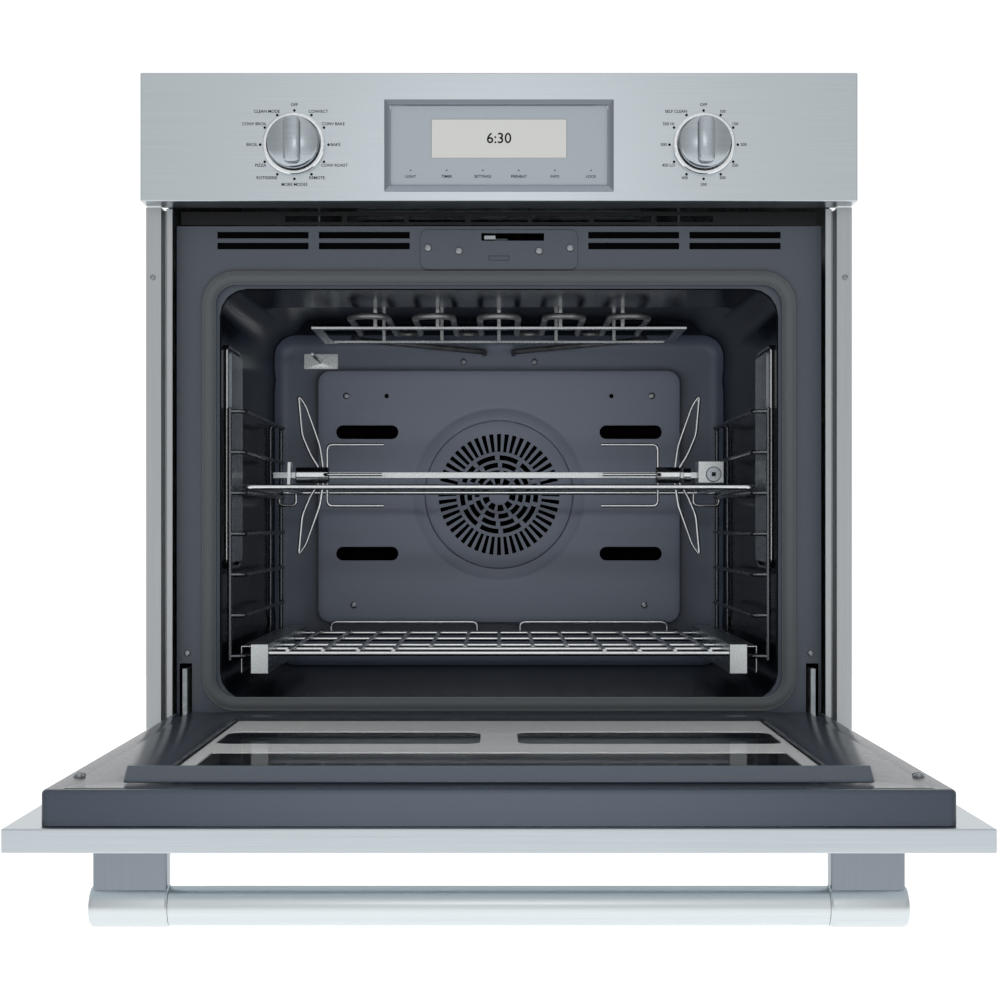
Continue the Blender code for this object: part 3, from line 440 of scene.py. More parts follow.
def pierced(piece, cutters, walls=0.0):
    """Gives a sheet its thickness and cuts holes through it, all applied to the mesh."""
    if walls:
        sheet = piece.modifiers.new("Sheet", "SOLIDIFY")
        sheet.thickness = walls
        sheet.offset = -1
    tools = made(piece.name + "_cutter", cutters, piece.data.materials[0], "oven", "enamel")
    cut = piece.modifiers.new("Holes", "BOOLEAN")
    cut.operation = "DIFFERENCE"
    cut.object = tools
    bpy.context.view_layer.update()
    mesh = bpy.data.meshes.new_from_object(piece.evaluated_get(bpy.context.evaluated_depsgraph_get()))
    piece.modifiers.clear()
    piece.data = mesh
    mesh.shade_smooth()
    mesh.set_sharp_from_angle(angle=math.radians(30))
    bpy.data.objects.remove(tools)
    return piece


def eased(node, material, edge=0.4 * MM, fold=0.0, name=None):
    """A copy of a CAD node with rounded edges: those of its outer box by fold, all others by edge."""
    work = bmesh.new()
    work.from_mesh(frame["nodes"][node].data)
    bmesh.ops.remove_doubles(work, verts=work.verts, dist=0.01 * MM)
    bmesh.ops.dissolve_limit(work, angle_limit=math.radians(1), verts=work.verts, edges=work.edges)
    if fold:
        low, high = (np.array(corner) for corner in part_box(node))
        outer = []
        for side in work.edges:
            middle = np.array((side.verts[0].co + side.verts[1].co) / 2)
            near = (np.abs(middle - low) < 0.02 * MM) | (np.abs(middle - high) < 0.02 * MM)
            if near.sum() >= 2:
                outer.append(side)
        bmesh.ops.bevel(work, geom=outer, offset=fold, segments=4, profile=0.5, affect="EDGES",
                        clamp_overlap=True)
    mesh = bpy.data.meshes.new(name or node + "_finished")
    work.to_mesh(mesh)
    work.free()
    mesh.shade_smooth()
    mesh.set_sharp_from_angle(angle=math.radians(35))
    mesh.materials.clear()
    mesh.materials.append(material)
    piece = bpy.data.objects.new(mesh.name, mesh)
    bpy.context.scene.collection.objects.link(piece)
    if edge:
        bevel = piece.modifiers.new("Edges", "BEVEL")
        bevel.width = edge
        bevel.segments = 2
        bevel.limit_method = "ANGLE"
        bevel.angle_limit = math.radians(40)
        bevel.harden_normals = True
    if fold:
        piece.modifiers.new("Normals", "WEIGHTED_NORMAL").keep_sharp = True
    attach(piece, BODY[node])
    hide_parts(node)
    return piece


def screw_head(x, y, z, radius=3.4 * MM, towards=(0, -1, 0)):
    """A pan-head screw on a surface that faces towards: a low turned dome round a hexagonal recess."""
    profile = [(1.0, 0.0), (0.98, 0.28), (0.85, 0.50), (0.62, 0.60), (0.45, 0.60), (0.40, 0.25)]
    points, faces = turned([(r * radius, -h * radius) for r, h in profile], (0, 0), "y", 18)
    way = np.array(towards, float)
    if abs(way[2]) > 0.5:
        points = points[:, [0, 2, 1]] * (1, 1, -way[2])
    elif way[1] > 0:
        points = points * (1, -1, 1)
    elif abs(way[0]) > 0.5:
        points = points[:, [1, 0, 2]] * (-way[0], 1, 1)
    return points + (x, y, z), faces


def words(name, lines, height, body, depth, font_weight=0.0):
    """Small printed words, one mesh: each line is (text, x, z), centred there on the panel's face."""
    points, faces, start = [], [], 0
    for text, x, z in lines:
        curve = bpy.data.curves.new(name, "FONT")
        curve.body = text
        curve.size = height
        curve.align_x = "CENTER"
        curve.align_y = "CENTER"
        curve.resolution_u = 3
        curve.offset = font_weight
        letters = bpy.data.objects.new(name, curve)
        bpy.context.scene.collection.objects.link(letters)
        bpy.context.view_layer.update()
        flat = bpy.data.meshes.new_from_object(letters.evaluated_get(bpy.context.evaluated_depsgraph_get()))
        spots = np.empty(len(flat.vertices) * 3)
        flat.vertices.foreach_get("co", spots)
        spots = spots.reshape(-1, 3)
        points.append(np.column_stack([spots[:, 0] + x, np.full(len(spots), depth), spots[:, 1] + z]))
        faces += [[start + i for i in face.vertices] for face in flat.polygons]
        start += len(spots)
        bpy.data.objects.remove(letters)
        bpy.data.meshes.remove(flat)
    return made(name, [from_front((np.vstack(points), faces))], INK, body, "black_steel")


# Control panel

KNOB_X = 215.5 * MM
KNOB_Z = 661 * MM
DIAL_DOTS = 12


def knob(node, sign):
    """A satin disc with a grip bar across it, in a fixed polished ring."""
    x = sign * KNOB_X
    disc = turned([(27.2, -3.6), (27.2, -17.0), (26.6, -18.4), (25.4, -19.2)], (0, 0), "y", 72)
    grip = pressed(8.5, 23.8, 5.5, [(0, -18.5), (0, -29.2), (0.5, -30.4), (1.6, -31.0)], (0, 0))
    shapes = [from_front((points * MM + (x, 0, KNOB_Z), faces)) for points, faces in (disc, grip)]
    made(node + "_turned", shapes, POLISHED, node, "stainless", [node])
    side = "left" if sign < 0 else "right"
    ring = [(28.4, -0.3), (28.4, -7.0), (28.9, -8.0), (31.6, -8.0), (32.5, -7.1), (32.5, -0.3)]
    points, faces = turned(ring, (0, 0), "y", 72, closed=True)
    made(side + "_knob_collar", [from_front((points * MM + (x, 0, KNOB_Z), faces))], CHROME, "oven",
         "chrome", [side + "_knob_ring"])


def dial_marks():
    """Twelve printed dots round each knob, every 30 degrees, and the row of touch dots."""
    t = np.arange(DIAL_DOTS) / DIAL_DOTS * TURN
    dots = []
    for x in (-KNOB_X, KNOB_X):
        for a, b in zip(x + 36 * MM * np.sin(t), KNOB_Z + 36 * MM * np.cos(t)):
            dots.append(from_front(turned([(1.45 * MM, -0.05 * MM), (1.4 * MM, -0.2 * MM)], (a, b), "y", 12)))
    for i in range(6):
        spot = ((i - 2.45) * 38 * MM, 634 * MM)
        dots.append(from_front(turned([(0.8 * MM, 0.25 * MM), (0.75 * MM, 0.15 * MM)], spot, "y", 12)))
    made("printed_dots", dots, INK, "oven", "black_steel")

    left = ["OFF", "CONVECT", "CONV BAKE", "BAKE", "CONV ROAST", "REMOTE", "MORE MODES", "ROTISSERIE",
            "PIZZA", "BROIL", "CONV BROIL", "CLEAN MODE"]
    right = ["OFF", "100", "150", "200", "250", "300", "350", "400", "450 LO", "500", "550 HI",
             "SELF CLEAN"]
    lines = []
    for x, names in ((-KNOB_X, left), (KNOB_X, right)):
        for angle, text in zip(t, names):
            out, up = math.sin(angle), math.cos(angle)
            beside = 36 * abs(out) + 1.3 * len(text) + (2.2 if abs(up) < 0.1 else -2.0)
            above = 36 * abs(up) + (6.0 if abs(out) < 0.1 else 3.8)
            spot = (x + np.sign(out) * beside * MM * (abs(out) > 0.1),
                    KNOB_Z + np.sign(up) * above * MM * (abs(up) > 0.1))
            lines.append((text, *spot))
    words("dial_words", lines, 4.4 * MM, "oven", -0.06 * MM, 0.07 * MM)
    touch = ["LIGHT", "TIMER", "SETTINGS", "PREHEAT", "INFO", "LOCK"]
    words("touch_words", [(text, (i - 2.45) * 38 * MM, 627.5 * MM) for i, text in enumerate(touch)],
          4.1 * MM, "oven", 0.2 * MM, 0.06 * MM)
    words("clock", [("6:30", 0, 667.5 * MM)], 15.5 * MM, "oven", 0.5 * MM, 0.15 * MM)


def control_panel():
    eased("control_panel", STEEL, 0.2 * MM, 1.4 * MM)
    low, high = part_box("display_frame")
    centre = ((low.x + high.x) / 2, (low.z + high.z) / 2)
    half = ((high.x - low.x) / 2, (high.z - low.z) / 2)
    slope = [(0, -0.3 * MM), (0, -0.9 * MM), (4.6 * MM, -2.8 * MM), (5.8 * MM, -2.8 * MM),
             (5.8 * MM, -0.3 * MM)]
    bezel = pressed(*half, 0.8 * MM, slope, centre, 3, closed=True)
    # The bezel takes the darker steel copy: painted shade in the sloped recess.
    made("display_bezel", [from_front(bezel)], SHADED_STEEL, "oven", "stainless", ["display_frame"], 20)
    knob("mode_knob", -1)
    knob("temperature_knob", 1)
    dial_marks()


# Front of the chassis


def front():
    eased("front_frame", FACE_ENAMEL, 0.5 * MM)
    eased("latch_cover", FACE_ENAMEL, 0.5 * MM)
    eased("vent_outlet", BLACK, 0.3 * MM)
    for side in ("left", "right"):
        eased(side + "_trim", STEEL_UPRIGHT, 0.4 * MM)
        eased(side + "_hinge_arm", ZINC, 0.5 * MM)
    low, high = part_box("door_gasket")
    half_w, half_h = (high.x - low.x) / 2, (high.z - low.z) / 2
    t = np.linspace(0, TURN, 20, endpoint=False)
    bulb = [(7.2 * MM - 7.2 * MM * math.cos(a), 54.6 * MM - 6.7 * MM * math.sin(a)) for a in t]
    seal = pressed(half_w, half_h, 36 * MM, bulb, (0, (low.z + high.z) / 2), 14, closed=True)
    made("oven_seal", [from_front(seal)], GASKET, "oven", "gasket", ["door_gasket"])

    # Thin near-black sheets behind the vent openings: painted shade inside the vents.
    vent_shades = []
    for sign in (-1, 1):
        middle = sign * 201.8 * MM
        vent_shades.append(from_front(box((middle - 108 * MM, 64.2 * MM, 557 * MM),
                                    (middle + 108 * MM, 66.4 * MM, 583 * MM))))
    made("vent_painted_shade", vent_shades, SHADE_BLACK, "oven", "black_steel")
    latch_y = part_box("latch_cover")[0].y
    frame_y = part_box("front_frame")[0].y
    trim_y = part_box("left_trim")[0].y
    spots = [(s * x * MM, z * MM) for x, z in ((77.2, 561.7), (43.5, 558.4)) for s in (-1, 1)]
    heads = [screw_head(x, latch_y, z, 4.2 * MM) for x, z in spots]
    heads += [screw_head(s * 339 * MM, frame_y, 121 * MM, 3.4 * MM) for s in (-1, 1)]
    heads += [screw_head(s * 370.6 * MM, trim_y, 525.6 * MM, 3.0 * MM) for s in (-1, 1)]
    made("front_screws", heads, SCREW, "oven", "chrome")


# Cavity

CAVITY = {"half": (303.7 * MM, 223.5 * MM), "centre": (0, 293.9 * MM), "radius": 30 * MM}
COVER_MIDDLE = 298.4 * MM
FAN = (0, 301.2 * MM)


def cavity():
    """The liner as rings of a rounded rectangle from the mouth to the back, which shrink over a round
    corner and close on the middle of the back wall. The ceiling steps up 15 mm behind its front lip."""
    straight = np.linspace(64.2, 517, 50)
    corner = np.linspace(0, TURN / 4, 9)[1:]
    rows = [(0.0, depth) for depth in straight]
    rows += [(20.0 - 20 * math.cos(a), 517 + 20 * math.sin(a)) for a in corner]
    rows += [(inset, 537.2) for inset in (60, 110, 160, 200)]
    rings = []
    for inset, depth in rows:
        half_w, half_h = (side - inset * MM for side in CAVITY["half"])
        radius = max(CAVITY["radius"] - inset * MM, 6 * MM)
        line = rounded(half_w, half_h, radius, 8, 24, CAVITY["centre"])
        rings.append(np.column_stack([line[:, 0], np.full(len(line), depth * MM), line[:, 1]]))
    grid = np.array(rings)
    x, y, z = np.moveaxis(grid, -1, 0)

    def ramp(value, start, stop):
        t = np.clip((value - start) / (stop - start), 0, 1)
        return t * t * (3 - 2 * t)

    lift = ramp(y, 230 * MM, 246 * MM) * ramp(-y, -515 * MM, -500 * MM)
    lift = lift * ramp(-np.abs(x), -262 * MM, -248 * MM)
    z += 14 * MM * lift * (z > 515 * MM)
    off = np.abs(z - 294 * MM)
    bead = ramp(off, 150 * MM, 158 * MM) * ramp(-off, -172 * MM, -164 * MM)
    x -= np.sign(x) * 1.5 * MM * bead * (np.abs(x) > 300 * MM) * ramp(y, 110 * MM, 125 * MM)
    liner = made("cavity_shell", [from_front(lattice(grid, (False, True), False))], ENAMEL, "oven", "enamel",
                 ["cavity_liner"], 50)
    # One enamel liner in two copies: the walls keep the near-black one, painted shade, and faces deeper than 524
    # mm take the paler back-wall one, painted light.
    liner.data.materials.append(LIT_BACK_ENAMEL)
    for face in liner.data.polygons:
        face.material_index = int(face.center.y > FRONT + 524 * MM)
    sheet = liner.modifiers.new("Sheet", "SOLIDIFY")
    sheet.thickness = 1.2 * MM
    sheet.offset = 1


def fan_cover():
    """A shallow pressed pan: its face blends from the rounded rim to a circle round the fan, with a
    stepped ring, and the grille is radial ribs round three rings of arcs."""
    half_w, half_h = 243 * MM, 169.3 * MM

    def rim(inset, depth):
        line = rounded(half_w - inset * MM, half_h - inset * MM, (18 - min(inset, 12)) * MM, 8, 32,
                       (0, COVER_MIDDLE))
        return np.column_stack([line[:, 0], np.full(len(line), depth * MM), line[:, 1]])

    border = rim(0, 0)
    bearing = np.arctan2(border[:, 2] - FAN[1], border[:, 0] - FAN[0])

    def circle(radius, depth):
        return np.column_stack([FAN[0] + radius * MM * np.cos(bearing), np.full(len(bearing), depth * MM),
                                FAN[1] + radius * MM * np.sin(bearing)])

    rings = [rim(0, 537), rim(0, 509), rim(0.6, 506.6), rim(1.6, 505.4), rim(3.2, 505.0), rim(10, 505.0)]
    rings += [circle(120, 505.0), circle(115.0, 505.0), circle(114.0, 505.5), circle(101.0, 509.8),
              circle(99.6, 509.8), circle(98.0, 505.4), circle(96.6, 505.0), circle(81.0, 505.0)]
    face = from_front(lattice(np.array(rings), (False, True), False))
    pan = made("fan_baffle", [face], COVER_ENAMEL, "oven", "enamel", ["fan_cover"], 30)
    slots = []
    for sign in (-1, 1):
        for middle in (222.1, 384.4):
            hole = pressed(41.6 * MM, 9.2 * MM, 9.0 * MM, [(0, 0.495), (0, 0.515)],
                           (sign * 176 * MM, middle * MM), 6)
            slots.append(from_front(hole))
        slots.append(from_front(turned([(3 * MM, 0.495), (3 * MM, 0.515)], (sign * 150.2 * MM, 432.7 * MM))))
    pierced(pan, slots, 1.2 * MM)

    # A near-black sheet just in front of the back wall, behind the cover: painted shade seen through the grille
    # and slots.
    shadow = pressed(236 * MM, 162 * MM, 12 * MM, [(0, 0.5335), (0, 0.5350)], (0, COVER_MIDDLE), 6)
    made("fan_chamber_painted_shade", [from_front(shadow)], SHADE_BLACK, "oven", "black_steel")
    front_y, back_y = 505.1 * MM, 506.6 * MM
    ribs = []
    count = 48
    for i in range(count):
        a = (i + 0.5) / count * TURN
        wide = 0.23 / count * TURN
        ribs.append(sector(56 * MM, 81.6 * MM, a - wide, a + wide, front_y, back_y, FAN, 2))
    for near, far in ((52.5, 57), (42.5, 46), (32.5, 36), (22.5, 26)):
        ring = [(near * MM, front_y), (far * MM, front_y), (far * MM, back_y), (near * MM, back_y)]
        ribs.append(turned(ring, FAN, "y", 96, closed=True))
    ribs.append(turned([(14 * MM, front_y), (14 * MM, back_y)], FAN, "y", 48))
    for i in range(10):
        a = i / 10 * TURN
        for near, far, half in ((13, 23, 0.10), (25, 33, 0.08), (35, 43, 0.07), (45, 53, 0.06)):
            b = a + near * 0.008
            ribs.append(sector(near * MM, far * MM, b - half, b + half, front_y, back_y, FAN, 3))
    made("fan_grille", [from_front(rib) for rib in ribs], COVER_ENAMEL, "oven", "enamel", angle=30)

    spots = [(204, 433), (-204, 433), (194, 153.5), (-194, 153.5)]
    heads = [screw_head(x * MM, FRONT + 505 * MM, z * MM, 4.4 * MM) for x, z in spots]
    heads += [screw_head(s * 48 * MM, FRONT + 537 * MM, 481.5 * MM, 4.2 * MM) for s in (-1, 1)]
    made("cavity_screws", heads, SCREW, "oven", "chrome")


def lamps():
    """A ribbed lens on each wall, in a bright frame of wire."""
    for side, sign in (("left", -1), ("right", 1)):
        low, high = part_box(side + "_lamp_lens")
        eased(side + "_lamp_lens", LENS, 1.5 * MM)
        y0, y1, z0, z1 = low.y - 5 * MM, high.y + 5 * MM, low.z - 6 * MM, high.z + 6 * MM
        loop = bent([(0, y0, z0), (0, y1, z0), (0, y1, z1), (0, y0, z1)], 10 * MM, 6, True)
        rim = tube(loop + (sign * 301.6 * MM, 0, 0), 2.0 * MM, 10, True, up=(1, 0, 0))
        made(side + "_lamp_rim", [rim], CHROME, "oven", "chrome")


def element_paths():
    """The middle lines of the broil and bake elements: rows of loops joined by narrower bends."""
    def serpentine(loops, pitch, half, near, far):
        t = np.linspace(math.pi, 0, 13)
        line = []
        for i in range(loops):
            middle = pitch * (i - (loops - 1) / 2)
            line.append(np.column_stack([middle + half * np.cos(t), near + half * (1 - np.sin(t))]))
            if i < loops - 1:
                gap = pitch / 2 - half
                line.append(np.column_stack([middle + pitch / 2 + gap * np.cos(t), far + gap * np.sin(t)]))
        return np.vstack(line)

    broil = serpentine(5, 76.6, 22.5, 199, 385)
    ends = np.array([(175.7, 395, 504), (190, 425, 500), (20, 505, 492), (20, 535, 492)])
    body = np.column_stack([broil, np.full(len(broil), 504.0)])
    path = np.vstack([ends[::-1] * (-1, 1, 1), body, ends]) * MM
    bake = serpentine(3, 150, 37.5, 150, 400)
    floor = np.column_stack([bake, np.full(len(bake), 60.0)])
    floor = np.vstack([[(-187.5, 500, 60)], floor, [(187.5, 500, 60)]]) * MM
    return bent(path, 8 * MM, 4), floor


def elements():
    broil, bake = element_paths()
    made("broil_tube", [from_front(tube(broil, 3.8 * MM, 12))], SHEATH, "oven", "element", ["broil_element"])
    made("bake_tube", [from_front(tube(bake, 3.8 * MM, 10))], SHEATH, "oven", "element", ["bake_element"])
    t = np.linspace(0.13, TURN - 0.13, 60)
    ring = np.column_stack([-92 * np.sin(t), np.full(60, 522.0), FAN[1] / MM + 92 * np.cos(t)]) * MM
    leads = [ring[0] + (0, 13 * MM, 0)], [ring[-1] + (0, 13 * MM, 0)]
    ring = bent(np.vstack([leads[0], ring, leads[1]]), 3 * MM, 3)
    made("fan_heater", [from_front(tube(ring, 3.5 * MM, 12, up=(0.3, 1, 0.2)))], SHEATH, "oven", "element",
         ["convection_element"])
    eased("broil_frame", STEEL_RAIL, 0.4 * MM)
    eased("temperature_sensor", STEEL_RAIL, 0.3 * MM)
    feet = []
    for x in (-147, -73, 0, 73, 147):
        for y in (245, 406):
            foot = box(((x - 2) * MM, (y - 4) * MM, 496 * MM), ((x + 2) * MM, (y + 4) * MM, 531 * MM))
            feet.append(from_front(foot))
    made("broil_hangers", feet, STEEL_RAIL, "oven", "stainless")


# Rack supports, rack and rotisserie

RUNGS = 115 * MM + 45.2 * MM * np.arange(7)


def ladders():
    """Each ladder: a front post, a rear hoop, and seven rungs that step in from the post and run back."""
    for side, sign in (("left", -1), ("right", 1)):
        low, high = RUNGS[0] - 4 * MM, RUNGS[-1] + 4 * MM
        wires = [tube([(298 * MM, 95 * MM, low), (298 * MM, 95 * MM, high)], 2.6 * MM, 12, up=(0, 1, 0))]
        hoop = np.array([(286, 462, 0), (286, 462, 1), (300, 462, 1), (300, 462, 0)])
        hoop = bent(hoop * (MM, MM, high - low) + (0, 0, low), 5 * MM)
        wires.append(tube(hoop, 2.6 * MM, 12, up=(0, 1, 0)))
        for z in RUNGS:
            line = np.array([(299, 95), (284, 97), (281, 101), (281, 450), (286, 463)]) * MM
            route = bent(np.column_stack([line, np.full(5, z)]), 6 * MM)
            wires.append(tube(route, 2.35 * MM, 12))
        wires = [from_front(w if sign > 0 else mirrored(w)) for w in wires]
        made(side + "_ladder_wires", wires, DARK_WIRE, "oven", "chrome", [side + "_rack_ladder"])
        eased(side + "_rack_rail", STEEL_RAIL, 0.3 * MM)
        eased(side + "_rack_channel", STEEL_RAIL, 0.3 * MM, 0.6 * MM)


def rack():
    """Thirteen lengthwise wires welded on five cross wires; the middle five start at the second."""
    z, under = 121 * MM, 117.8 * MM
    wires = []
    for i in range(13):
        x = 39.1 * MM * (i - 6)
        start = 172 if 4 <= i <= 8 else 101
        stop = 485
        route = [(x, start * MM, z), (x, stop * MM, z)]
        wires.append(tube(route, 2.2 * MM, 12))
    for y in (104, 172, 238, 358, 480):
        wires.append(tube([(-255.6 * MM, y * MM, under), (255.6 * MM, y * MM, under)], 3 * MM, 12))
    for near, far in ((28, 222), (-222, -29)):
        stop = np.array([(near, 483, 119), (near, 483, 132), (far, 483, 132), (far, 483, 119)]) * MM
        wires.append(tube(bent(stop, 8 * MM), 2.2 * MM, 12, up=(0, 1, 0)))
    made("rack_wires", [from_front(w) for w in wires], CHROME, "rack", "chrome", ["oven_rack"])


SPIT = (322 * MM, 321.7 * MM)


def rotisserie():
    """The cradle of round wire, its bearing plate, and the spit with a fork of four tines at each end."""
    z = 302.5 * MM
    loop = np.array([(-288, 104), (288, 104), (288, 450), (-288, 450)]) * MM
    loop = bent(np.column_stack([loop, np.full(4, z)]), 14 * MM, 8, True)
    wires = [tube(loop, 3 * MM, 14, True)]
    for x in (-257.2, 260):
        wires.append(tube([(x * MM, 103 * MM, z), (x * MM, 451 * MM, z)], 2.4 * MM, 12))
    for near, far in ((-287, -265), (254, 287)):
        stop = np.array([(near, 450, 302), (near, 450, 286), (far, 450, 286), (far, 450, 302)]) * MM
        wires.append(tube(bent(stop, 6 * MM), 2.2 * MM, 12, up=(0, 1, 0)))
    y, top, notch = SPIT[0], 337.5 * MM, 6.2 * MM
    outline = [(y - 22 * MM, z), (y + 22 * MM, z), (y + 14 * MM, top), (y + notch, top),
               (y + notch, SPIT[1] - notch), (y - notch, SPIT[1] - notch), (y - notch, top),
               (y - 14 * MM, top)]
    wires.append(plate(outline, -259 * MM, -255.5 * MM))
    made("cradle_wires", [from_front(w) for w in wires], CHROME, "cradle", "chrome", ["rotisserie_cradle"])
    eased("spit_gearbox", STEEL_RAIL, 0.8 * MM)
    socket = [(9.5, 304.8), (9.5, 301.8), (8.6, 301.0), (5.0, 301.0)]
    socket = turned(np.array(socket) * MM, (262.5 * MM, 322.5 * MM), "y", 32)
    made("gearbox_socket", [from_front(socket)], POLISHED, "cradle", "zinc_steel")
    square = box((260 * MM, 300.4 * MM, 320 * MM), (265 * MM, 301.1 * MM, 325 * MM))
    made("gearbox_square", [from_front(square)], BLACK, "cradle", "zinc_steel")
    eased("spit_rod", STEEL_RAIL, 0.8 * MM)
    for side, sign, near, far in (("left", -1, 209, 250), ("right", 1, 193, 223)):
        hub = [(5.9, near), (9.6, near), (10.4, near + 1), (10.4, far - 1), (9.6, far), (5.9, far)]
        shapes = [turned(np.array(hub) * MM, SPIT, "x", 32, closed=True)]
        for turn in np.arange(4) / 4 * TURN:
            line = np.array([(near + 3, 8.5), (near + 3, 37.7), (near - 67, 37.7)]) * MM
            out, reach = line.T
            route = bent(np.column_stack([out, reach * math.cos(turn), reach * math.sin(turn)]), 7 * MM)
            across = (0, -math.sin(turn), math.cos(turn))
            shapes.append(moved(tube(route, 1.9 * MM, 12, up=across), (0, *SPIT)))
        for q in (-1, 1):
            wing = [(221, 7), (232.8, 26), (243, 50), (247.5, 99), (238.5, 86), (221.2, 37), (216.8, 7)]
            route = bent(np.array([(x, 0, q * h) for x, h in wing]) * MM, 6 * MM)
            shapes.append(moved(tube(route, 1.9 * MM, 12, up=(0, 1, 0)), (0, *SPIT)))
        shapes = [from_front(s if sign > 0 else mirrored(s)) for s in shapes]
        made(side + "_fork_wires", shapes, CHROME, "spit", "stainless", [side + "_spit_fork"])
    collar = np.array([(6.4, 227), (9, 227), (9, 236), (6.4, 236)]) * MM
    collar = turned(collar, SPIT, "x", 32, closed=True)
    made("spit_collar", [from_front(collar)], CHROME, "spit", "stainless")


# Door

HANDLE = (-80 * MM, 506 * MM)


def door():
    """The door's skin, pressed liner, window, sealing bar and handle, drawn closed and laid open."""
    eased("door_skin", STEEL, 0.3 * MM, 1.4 * MM)
    half_w, low, high = 350.5 * MM, -20 * MM, 547.5 * MM
    outer_h, outer_c = (high - low) / 2, (high + low) / 2

    def ring(inset, depth):
        radius = (7 - min(inset, 5)) * MM
        line = rounded(half_w - inset * MM, outer_h - inset * MM, radius, 8, 12, (0, outer_c))
        return np.column_stack([line[:, 0], np.full(len(line), depth * MM), line[:, 1]])

    def mouth(grow, depth):
        line = rounded((277 + grow) * MM, (234 + grow) * MM, (6 + grow) * MM, 8, 12, (0, 256 * MM))
        return np.column_stack([line[:, 0], np.full(len(line), depth * MM), line[:, 1]])

    turn = np.linspace(0, TURN / 4, 8)
    rows = [ring(0, -10.6)] + [ring(4 - 4 * math.cos(a), 13 + 4 * math.sin(a)) for a in turn]
    rows += [ring(14, 17.0), ring(16, 16.7), ring(18, 16.6), mouth(3, 16.6), mouth(1, 15.8), mouth(0.2, 14.6),
             mouth(0.2, 12.4)]
    shape = on_door(lattice(np.array(rows), (False, True), False))
    liner = made("door_inner_shell", [shape], DOOR_ENAMEL, "door", "enamel", ["door_liner"], 40)
    slots = []
    through = [(0, 0.005), (0, 0.03)]
    for i in range(-3, 4):
        slots.append(on_door(pressed(41 * MM, 2 * MM, 1.9 * MM, through, (97.8 * MM * i, 538.5 * MM), 4)))
    for sign in (-1, 1):
        arm = sign * 340.5 * MM
        slots.append(on_door(box((arm - 6 * MM, 0.0, -0.03), (arm + 6 * MM, 0.03, 0.024))))
    slots.append(on_door(pressed(19.1 * MM, 4 * MM, 3.5 * MM, through, (-9.7 * MM, 530.5 * MM), 4)))
    pierced(liner, slots, 1.2 * MM)

    eased("window_frame", ALUMINISED, 0.2 * MM)
    eased("door_bar", BAR_COAT, 1.2 * MM)
    heads = []
    for x in (-338, 338):
        points, faces = screw_head(0, 0, 0, 5 * MM, (0, 1, 0))
        heads.append(on_door((points + (x * MM, 16.9 * MM, 471 * MM), faces)))
    made("door_screws", heads, SCREW, "door", "chrome")

    grip = np.array([(13.6, -258), (15.5, -258), (15.5, 258), (13.6, 258)]) * MM
    grip = turned(grip, HANDLE, "x", 64, closed=True)
    made("handle_grip", [on_door(grip)], STEEL_HANDLE, "door", "stainless", ["handle_tube"])
    for side, sign in (("left", -1), ("right", 1)):
        cap = [(12.5, 258.4), (15.4, 258.4), (16.4, 259.6), (16.6, 261.5), (16.6, 316.2), (16.2, 318.3),
               (15.0, 319.7), (13.2, 320.0)]
        cap = on_door(turned(np.array(cap) * MM, HANDLE, "x", 64))
        neck = rounded(29 * MM, 9 * MM, 2.5 * MM, 6, 1, (288.5 * MM, HANDLE[1]))
        rings = []
        for depth in (-30.4 * MM, HANDLE[0]):
            rings.append(np.column_stack([neck[:, 0], np.full(len(neck), depth), neck[:, 1]]))
        neck = on_door(lattice(np.array(rings)))
        if sign < 0:
            cap, neck = mirrored(cap), mirrored(neck)
        made(side + "_handle_bracket", [cap], STEEL_HANDLE, "door", "stainless", [side + "_handle_post"])
        # The neck takes the darker steel copy: painted shade under the open door.
        made(side + "_handle_neck", [neck], SHADED_STEEL, "door", "stainless")


# Chassis and inner pieces


def chassis():
    """Sheet panels with rounded folds, pressed beads, screws, and a flexible conduit gland on the back."""
    for node in ("left_side_panel", "right_side_panel", "top_cover", "back_panel", "base_pan"):
        eased(node, ZINC, 0.3 * MM)
    low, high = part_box("left_side_panel")
    beads, heads = [], []
    for sign in (-1, 1):
        x = sign * 358.3 * MM
        for z in (160 * MM, 350 * MM, 540 * MM):
            route = [(x, low.y + 60 * MM, z), (x, high.y - 60 * MM, z)]
            beads.append(tube(route, 1.0 * MM, 12))
        for y in np.linspace(low.y + 20 * MM, high.y - 20 * MM, 6):
            for z in (12 * MM, high.z - 12 * MM):
                heads.append(screw_head(x, y, z, 3.4 * MM, (sign, 0, 0)))
    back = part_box("back_panel")[1].y
    for z in (170 * MM, 350 * MM, 530 * MM):
        beads.append(tube([(-250 * MM, back, z), (250 * MM, back, z)], 1.5 * MM, 12))
    for x in np.linspace(-340 * MM, 340 * MM, 7):
        for z in (12 * MM, high.z - 12 * MM):
            heads.append(screw_head(x, back, z, 3.4 * MM, (0, 1, 0)))
    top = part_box("top_cover")[1].z
    for y in (low.y + 30 * MM, high.y - 30 * MM):
        for x in np.linspace(-320 * MM, 320 * MM, 6):
            heads.append(screw_head(x, y, top, 3.4 * MM, (0, 0, 1)))
    for x in (-200 * MM, 0.0, 200 * MM):
        beads.append(tube([(x, low.y + 80 * MM, top), (x, high.y - 60 * MM, top)], 1.5 * MM, 12))
    made("pressed_beads", beads, ZINC, "oven", "zinc_steel", angle=60)
    made("chassis_screws", heads, SCREW, "oven", "chrome")
    gland = np.array([(10.4, 0), (14.5, 0), (14.5, 3.5), (12.5, 4.5), (10.4, 4.5)]) * MM
    gland = turned(gland, (-280 * MM, 620 * MM), "y", 32, closed=True)
    made("conduit_bushing", [moved(gland, (0, back, 0))], BLACK, "oven", "black_steel")


